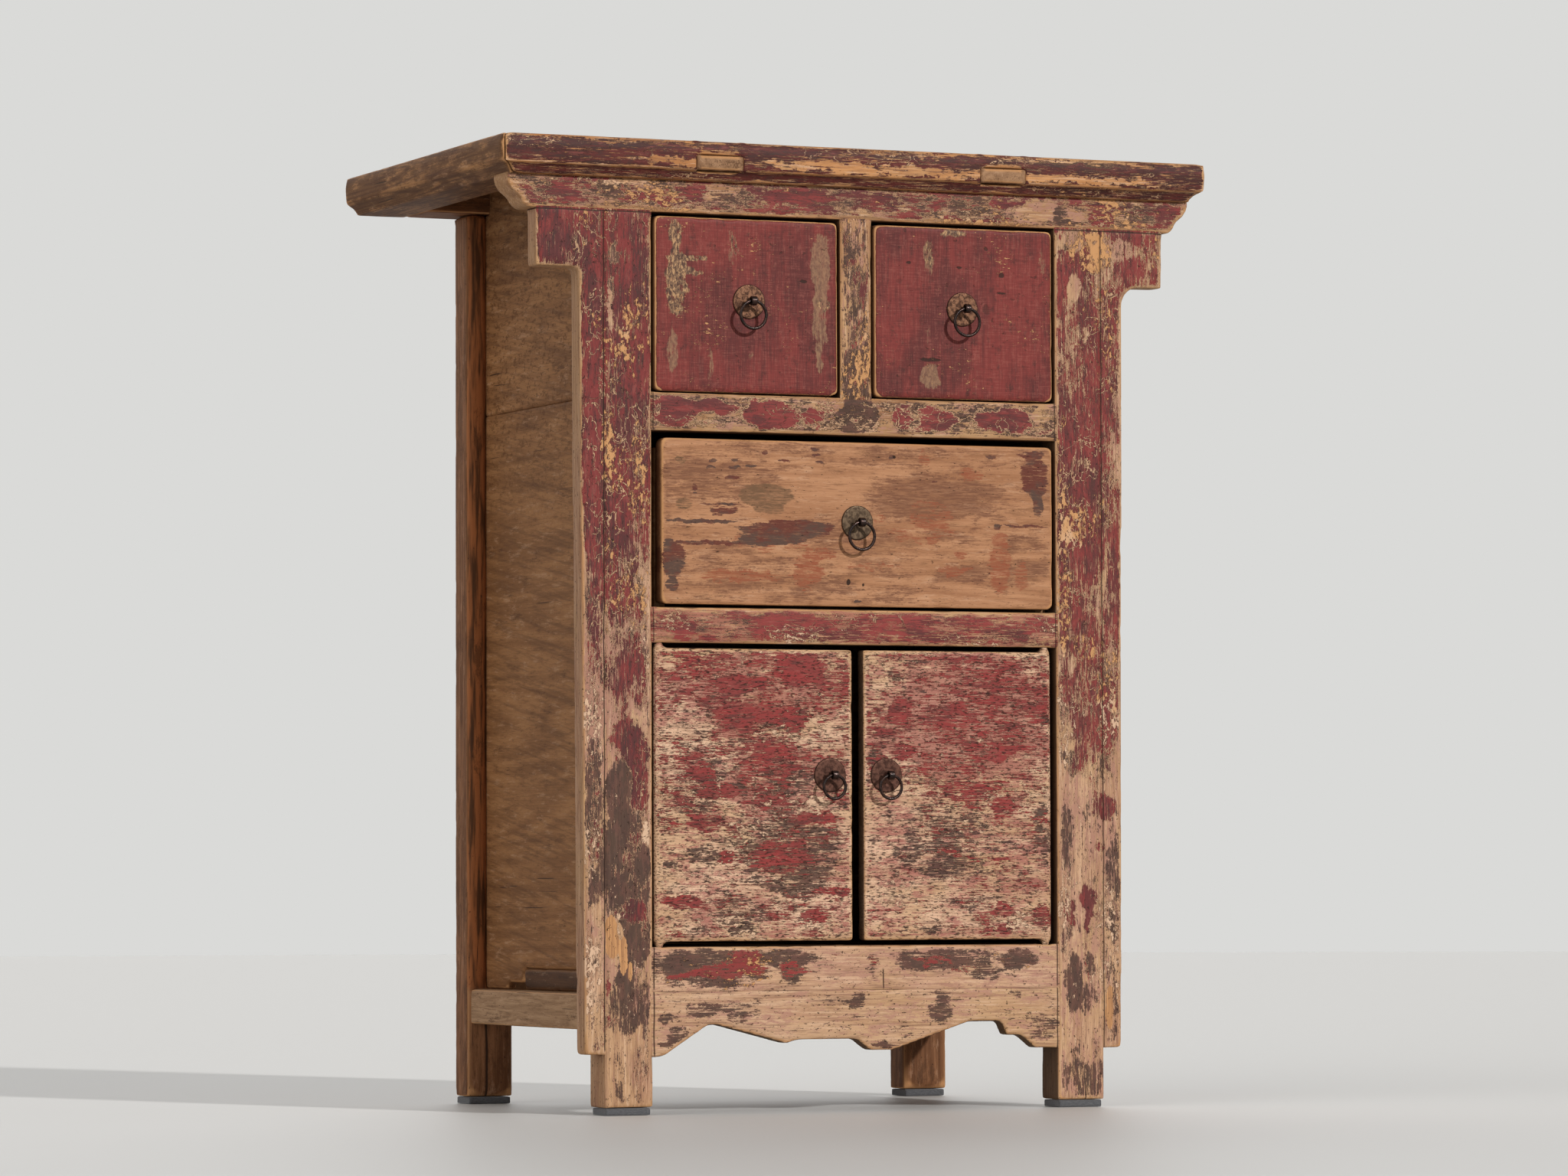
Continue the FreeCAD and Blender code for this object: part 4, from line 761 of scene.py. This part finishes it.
door_paint = painted(
    "door_paint", "X", -0.14, (22, 44), weights=(0.7, 0.9, 1.1), rim=0.012, grey=-0.17,
    tint=srgb(165, 98, 89), chips=-0.08, wood=(srgb(232, 192, 160), srgb(192, 146, 116)),
    reds=(SCARLET, CRIMSON), flake=(CREAM, srgb(206, 164, 122)), dirt=0.6, speck=(1.6, 6.0), bare=0.8,
    veins=0.0, pepper=0.1, scratch=0.6, cover_rises=[(290, 400, 0.12)],
    chip_spots=[(-68, 455, 46, 22, -0.3)],
    haze_spots=[
        (130, 410, 110, 76, 0.4), (-130, 430, 90, 46, 0.3), (-80, 340, 80, 40, 0.2),
        (-195, 400, 34, 30, -0.1)],
    cover_spots=[
        (-64, 458, 26, 17, 0.44), (-135, 441, 28, 10, 0.42), (-130, 411, 36, 14, 0.32),
        (-76, 408, 20, 12, 0.3), (-105, 375, 22, 11, 0.3), (-178, 347, 16, 8, 0.46),
        (-172, 300, 18, 11, 0.43), (-45, 305, 20, 8, 0.5), (-105, 320, 30, 8, 0.36),
        (-150, 330, 18, 10, 0.3), (-95, 335, 50, 40, 0.08), (-185, 340, 34, 40, 0.08),
        (-85, 262, 36, 20, 0.26), (-195, 217, 22, 8, 0.46), (-50, 203, 16, 7, 0.45), (-30, 228, 24, 4, 0.4),
        (-190, 400, 40, 16, -0.3), (-190, 250, 40, 40, -0.2), (-190, 462, 40, 14, 0.05),
        (-150, 262, 8, 8, 0.4), (48, 415, 13, 14, 0.46), (55, 372, 15, 8, 0.46), (150, 420, 80, 50, 0.12),
        (160, 370, 12, 11, 0.42), (120, 330, 50, 12, 0.2), (168, 315, 16, 12, 0.42),
        (165, 206, 13, 9, 0.46), (213, 200, 13, 12, 0.46), (170, 188, 10, 5, 0.4), (25, 450, 14, 14, -0.3),
        (40, 300, 30, 30, -0.3), (100, 230, 90, 30, -0.1)],
    grey_spots=[
        (-80, 266, 62, 52, 0.24), (-76, 300, 40, 14, 0.12), (-72, 238, 40, 18, 0.12),
        (-130, 206, 30, 18, 0.26), (-170, 265, 26, 9, 0.34), (-212, 257, 8, 5, 0.5),
        (-180, 187, 12, 5, 0.5), (-132, 188, 16, 5, 0.45), (-85, 398, 24, 8, 0.4), (100, 278, 66, 40, 0.27),
        (215, 285, 12, 34, 0.36), (90, 252, 54, 10, 0.06), (200, 245, 30, 20, 0.05), (85, 187, 14, 5, 0.5),
        (215, 408, 7, 6, 0.6), (-100, 345, 80, 22, 0.2), (-185, 330, 34, 26, 0.2), (40, 452, 8, 6, 0.4),
        (20, 365, 10, 12, 0.3)],
    shift=12.0)
bare_drawer_wood = stripped(
    "bare_drawer_wood", "X",
    haze=[
        (60, 635, 70, 24, 0.34), (110, 640, 60, 26, 0.22), (-200, 665, 34, 26, 0.2),
        (190, 580, 30, 40, 0.2), (-60, 545, 60, 14, 0.16), (-20, 600, 50, 20, 0.1), (120, 560, 34, 10, 0.3),
        (-35, 650, 60, 30, -0.2)],
    stains=[
        (-103, 637, 34, 14, 0.9), (-100, 622, 20, 6, 0.6), (-195, 627, 12, 8, 0.6),
        (-15, 546, 24, 12, 0.45), (95, 533, 12, 5, 0.5), (-180, 560, 28, 12, 0.2), (-200, 672, 8, 4, 0.6),
        (-165, 530, 24, 4, 0.5)],
    smears=[
        (-130, 553, 56, 7, 0.65), (-57, 558, 20, 20, 0.7), (15, 565, 44, 3, 0.6), (112, 562, 24, 6, 0.6),
        (70, 602, 44, 12, 0.5), (85, 622, 30, 16, 0.46), (165, 572, 15, 36, 0.66), (190, 560, 10, 18, 0.55),
        (132, 664, 15, 8, 0.6), (76, 679, 7, 8, 0.65), (118, 580, 12, 7, 0.5), (-100, 588, 60, 10, 0.4),
        (-40, 578, 26, 6, 0.5), (25, 615, 10, 6, 0.5)],
    darks=[
        (-85, 599, 56, 13, 0.85), (-55, 606, 34, 6, 0.8), (-175, 609, 46, 2.5, 0.8),
        (-150, 620, 22, 5, 0.65), (-155, 627, 26, 2, 0.7), (-165, 587, 50, 2.5, 0.8),
        (-110, 589, 32, 7, 0.5), (-30, 580, 30, 2.5, 0.5), (-209, 570, 17, 22, 0.85),
        (-209, 543, 9, 7, 0.7), (205, 664, 18, 26, 0.8), (209, 630, 8, 13, 0.65), (200, 687, 20, 4, 0.65),
        (161, 610, 6, 4, 0.75), (195, 611, 30, 1.8, 0.7), (-163, 672, 6, 2, 0.8), (-165, 665, 6, 1.8, 0.8),
        (-138, 673, 5, 2, 0.8), (-138, 665, 8, 2, 0.85), (-120, 667, 8, 1.5, 0.7),
        (-142, 655, 10, 2.5, 0.7), (-48, 686, 6, 1.8, 0.85), (-47, 680, 6, 1.8, 0.8),
        (-42, 673, 6, 1.5, 0.7), (-82, 673, 9, 1.5, 0.6), (-104, 681, 4, 2.5, 0.9), (40, 680, 4, 2.5, 0.85),
        (19, 675, 3, 2, 0.6), (90, 655, 5, 2, 0.6), (155, 683, 8, 3, 0.6), (-183, 642, 4, 6, 0.6),
        (0, 529, 5, 1.5, 0.7)],
    gaps=[(-176, 598, 40, 6, -0.9), (-34, 590, 24, 5, -0.6)],
    holes=[(-10, 549, 2.5, 3.5, 1.0), (43, 680, 2, 2, 0.9), (7, 546, 1.6, 1.6, 0.9)], shift=13.0)
side_wood = plain_wood("side_wood", "Y", srgb(158, 112, 72), srgb(122, 82, 50), ring=70, marks=0.45,
                       stain=-0.3, shift=14.0, flecks=(560, 760))
post_wood = plain_wood(
    "post_wood", "Z", srgb(146, 100, 68), srgb(98, 62, 38), ring=36, stain=-0.15, shift=15.0,
    returns=srgb(160, 98, 58), cracks=[(-263, 8, 92, 1.6)])
rail_wood = plain_wood(
    "rail_wood", "Y", srgb(176, 140, 106), srgb(140, 106, 76), ring=22, stain=-0.3, shift=16.0)
patch_wood = plain_wood(
    "patch_wood", "Y", srgb(98, 66, 42), srgb(64, 42, 28), ring=30, marks=0.1, stain=0.0, shift=17.0,
    edge=srgb(120, 82, 52))
top_wood = plain_wood("top_wood", "X", srgb(140, 92, 58), srgb(102, 64, 40), stain=-0.1, shift=18.0)
inner_wood = plain_wood("inner_wood", "X", srgb(160, 118, 82), srgb(128, 90, 58), marks=0.15, shift=19.0)
deep_wood = plain_wood("deep_wood", "Y", srgb(160, 118, 82), srgb(128, 90, 58), marks=0.15, shift=21.0)
batten_wood = plain_wood(
    "batten_wood", "Y", srgb(172, 132, 98), srgb(136, 100, 72), ring=40, stain=-0.1, shift=20.0)
black_iron = iron("black_iron", srgb(26, 16, 13), srgb(54, 33, 25), rough=0.26, shine=0.6)
# The plates get a darker rim, a painted shade of their edges.
plate_of = {
    "left_drawer": iron("tan_plate", srgb(66, 44, 34), srgb(122, 87, 66), rough=0.5, rim=0.9),
    "wide_drawer": iron("grey_plate", srgb(68, 54, 42), srgb(102, 84, 66), rough=0.5, rim=0.9),
    "left_door": iron("brown_plate", srgb(60, 39, 32), srgb(94, 64, 53), rough=0.5, rim=0.9),
}
plate_of["right_drawer"] = plate_of["left_drawer"]
plate_of["right_door"] = plate_of["left_door"]
grey_felt = felt("grey_felt", srgb(78, 78, 80), srgb(104, 104, 106))


# Pieces

def low(node, axis):
    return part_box(node)[0][axis]


def high(node, axis):
    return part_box(node)[1][axis]


opening_left, opening_right = high("front_left_post", X), low("front_right_post", X)
post_left, post_right = low("front_left_post", X), high("front_right_post", X)
frieze_low, top_low = low("frieze_rail", Z), high("frieze_rail", Z)
apron_top = high("apron", Z)

# The places of the battens' tenons on the front edge, in millimetres from the middle, and the back's boards.
TENON_SIDES = (135.5, 187.5)
BACK_BOARDS = 4

uprights = (("left", left_uprights, post_left, 1), ("right", right_uprights, post_right, -1))
under_frieze = (Z, frieze_low, REACH)
for side, material, seam, inward in uprights:
    dress(f"front_{side}_post", material, "Z", crisp=[(X, seam, 0), under_frieze])
    dress(f"{side}_wing", material, "Z", crisp=[(X, seam, inward * REACH), under_frieze], passes=4)
    dress(f"rear_{side}_post", post_wood, "Z", voxel=4, crisp=[(Z, top_low, 0)])

rail_ends = [(X, opening_left, -REACH), (X, opening_right, REACH)]
for node, material in (("upper_mid_rail", upper_rail_paint), ("lower_mid_rail", lower_rail_paint)):
    dress(node, material, crisp=rail_ends)
dress("bottom_rail", bottom_rail_paint, crisp=[*rail_ends, (Z, apron_top, -REACH)])
dress("apron", apron_paint, crisp=[*rail_ends, (Z, apron_top, 0)])
dress("drawer_divider", divider_paint, "Z",
      crisp=[(Z, frieze_low, REACH), (Z, high("upper_mid_rail", Z), -REACH)])
dress("frieze_rail", frieze_paint, crisp=[(Z, top_low, REACH)])

tenon_edges = [(X, side * place * MM, 0) for side in (-1, 1) for place in TENON_SIDES]
dress("top_front_rail", top_paint, voxel=2.2, crisp=tenon_edges)
dress("top_battens", batten_wood, "Y", voxel=2.2, crisp=tenon_edges)
for side, outward in (("left", -1), ("right", 1)):
    dress(f"top_{side}_end", end_wood, "Y", passes=2, facing=(outward, 0, 0))
dress("top_back_rail", top_wood, voxel=4)
dress("top_panel", top_wood, voxel=5)

board_joint = high("upper_mid_rail", Z)
for side in ("left", "right"):
    dress(f"{side}_side_boards", side_wood, "Y", voxel=2.6, joints=[board_joint])
dress("left_side_patch", patch_wood, "Y", voxel=2.5)
dress("lower_side_rails", rail_wood, "Y", nicks=2.0)

back_low, back_high = low("back_boards", Z), high("back_boards", Z)
back_joints = [back_low + (back_high - back_low) * share / BACK_BOARDS for share in range(1, BACK_BOARDS)]
dress("back_boards", inner_wood, voxel=4, joints=back_joints)
dress("rear_rails", inner_wood, voxel=4)

for side in ("left", "right"):
    dress(f"{side}_drawer_front", red_drawer_paint, "Z", voxel=2)
    dress(f"{side}_door_board", door_paint, voxel=2.4)
dress("wide_drawer_front", bare_drawer_wood, voxel=2.4)

for body in ("left_drawer", "right_drawer", "wide_drawer", "left_door", "right_door"):
    dress(f"{body}_plate", plate_of[body], "Y", voxel=0.8, passes=2, wave=0.15, nicks=0.0)
    dress(f"{body}_pin", black_iron, "Y", voxel=0.5, passes=3, wave=0.1, nicks=0.0)
    dress(f"{body}_ring", black_iron, "Y", voxel=0.5, passes=2, wave=0.12, nicks=0.0)
dress("foot_pads", grey_felt, voxel=1.5, passes=5, wave=0.3, nicks=0.6)

# Inner pieces that no worn piece replaces keep their solids.
for node, thing in frame["nodes"].items():
    if not thing.hide_render:
        thing.data.materials.clear()
        runs_back = node.endswith(("_sides", "_guides", "_runners", "_side_rails"))
        thing.data.materials.append(deep_wood if runs_back else inner_wood)


# Floor, light and camera

FLOOR_RADIUS, FLOOR_SIDES = 14, 96
WORLD_LIGHT = 0.15

# Each lamp's direction, strength and softness in degrees.
LAMPS = {
    "key": ((0.34, -0.86, 0.42), 2.15, 3),
    "fill": ((-0.85, -0.35, 0.3), 1.1, 60),
    "rear": ((0.2, 0.9, 0.5), 0.8, 60),
}

# The fitted camera: its place in metres, turn, rise and roll in degrees, lens and sensor in millimetres.
EYE = (-2.73767, -6.26452, 0.24031)
TURN, RISE, ROLL = -23.70, 2.61, -0.18
LENS, SENSOR = 146.74, 36


def sun(name, towards, strength, width):
    """A far lamp that shines from the given direction; width is how soft it is, in degrees."""
    light = bpy.data.lights.new(name, "SUN")
    light.energy = strength
    light.angle = math.radians(width)
    lamp = bpy.data.objects.new(name, light)
    lamp.rotation_euler = Vector(towards).to_track_quat("Z", "Y").to_euler()
    bpy.context.scene.collection.objects.link(lamp)


def floor():
    """A plain pale disc under the cabinet."""
    shape = bmesh.new()
    bmesh.ops.create_circle(shape, cap_ends=True, segments=FLOOR_SIDES, radius=FLOOR_RADIUS)
    mesh = bpy.data.meshes.new("floor")
    shape.to_mesh(mesh)
    shape.free()
    ground = bpy.data.objects.new("floor", mesh)
    tree = Tree("floor_finish")
    tree.shader.inputs["Base Color"].default_value = srgb(214, 212, 208)
    tree.shader.inputs["Roughness"].default_value = 0.55
    mesh.materials.append(tree.material)
    bpy.context.scene.collection.objects.link(ground)


def backdrop():
    """A pale world to the camera and in gloss, and a faint even light on everything else."""
    world = bpy.data.worlds.new("studio")
    bpy.context.scene.world = world
    world.use_nodes = True
    nodes, links = world.node_tree.nodes, world.node_tree.links
    shown, lighting = nodes["Background"], nodes.new("ShaderNodeBackground")
    shown.inputs["Color"].default_value = srgb(218, 218, 216)
    lighting.inputs["Color"].default_value = (1, 1, 1, 1)
    lighting.inputs["Strength"].default_value = WORLD_LIGHT
    path, mixer = nodes.new("ShaderNodeLightPath"), nodes.new("ShaderNodeMixShader")
    seen = path.outputs["Is Camera Ray"]
    for ray in ("Is Glossy Ray", "Is Transmission Ray"):
        either = nodes.new("ShaderNodeMath")
        either.operation = "MAXIMUM"
        links.new(seen, either.inputs[0])
        links.new(path.outputs[ray], either.inputs[1])
        seen = either.outputs[0]
    links.new(seen, mixer.inputs[0])
    links.new(lighting.outputs[0], mixer.inputs[1])
    links.new(shown.outputs[0], mixer.inputs[2])
    links.new(mixer.outputs[0], nodes["World Output"].inputs["Surface"])


def camera():
    """The photograph's camera, fitted to the cabinet's straight edges."""
    turn, rise, roll = (math.radians(angle) for angle in (TURN, RISE, ROLL))
    ahead = Vector((-math.sin(turn) * math.cos(rise), math.cos(turn) * math.cos(rise), math.sin(rise)))
    right = Vector((math.cos(turn), math.sin(turn), 0))
    up = right.cross(ahead)
    across = right * math.cos(roll) + up * math.sin(roll)
    upward = up * math.cos(roll) - right * math.sin(roll)
    view = bpy.data.cameras.new("photo_camera")
    view.sensor_width = SENSOR
    view.lens = LENS
    eye = bpy.data.objects.new("photo_camera", view)
    eye.matrix_world = Matrix.Translation(EYE) @ Matrix(
        (across, upward, -ahead)).transposed().to_4x4()
    bpy.context.scene.collection.objects.link(eye)
    bpy.context.scene.camera = eye


floor()
backdrop()
for lamp, (towards, strength, width) in LAMPS.items():
    sun(lamp, towards, strength, width)
camera()
bpy.context.scene.view_settings.view_transform = "Standard"
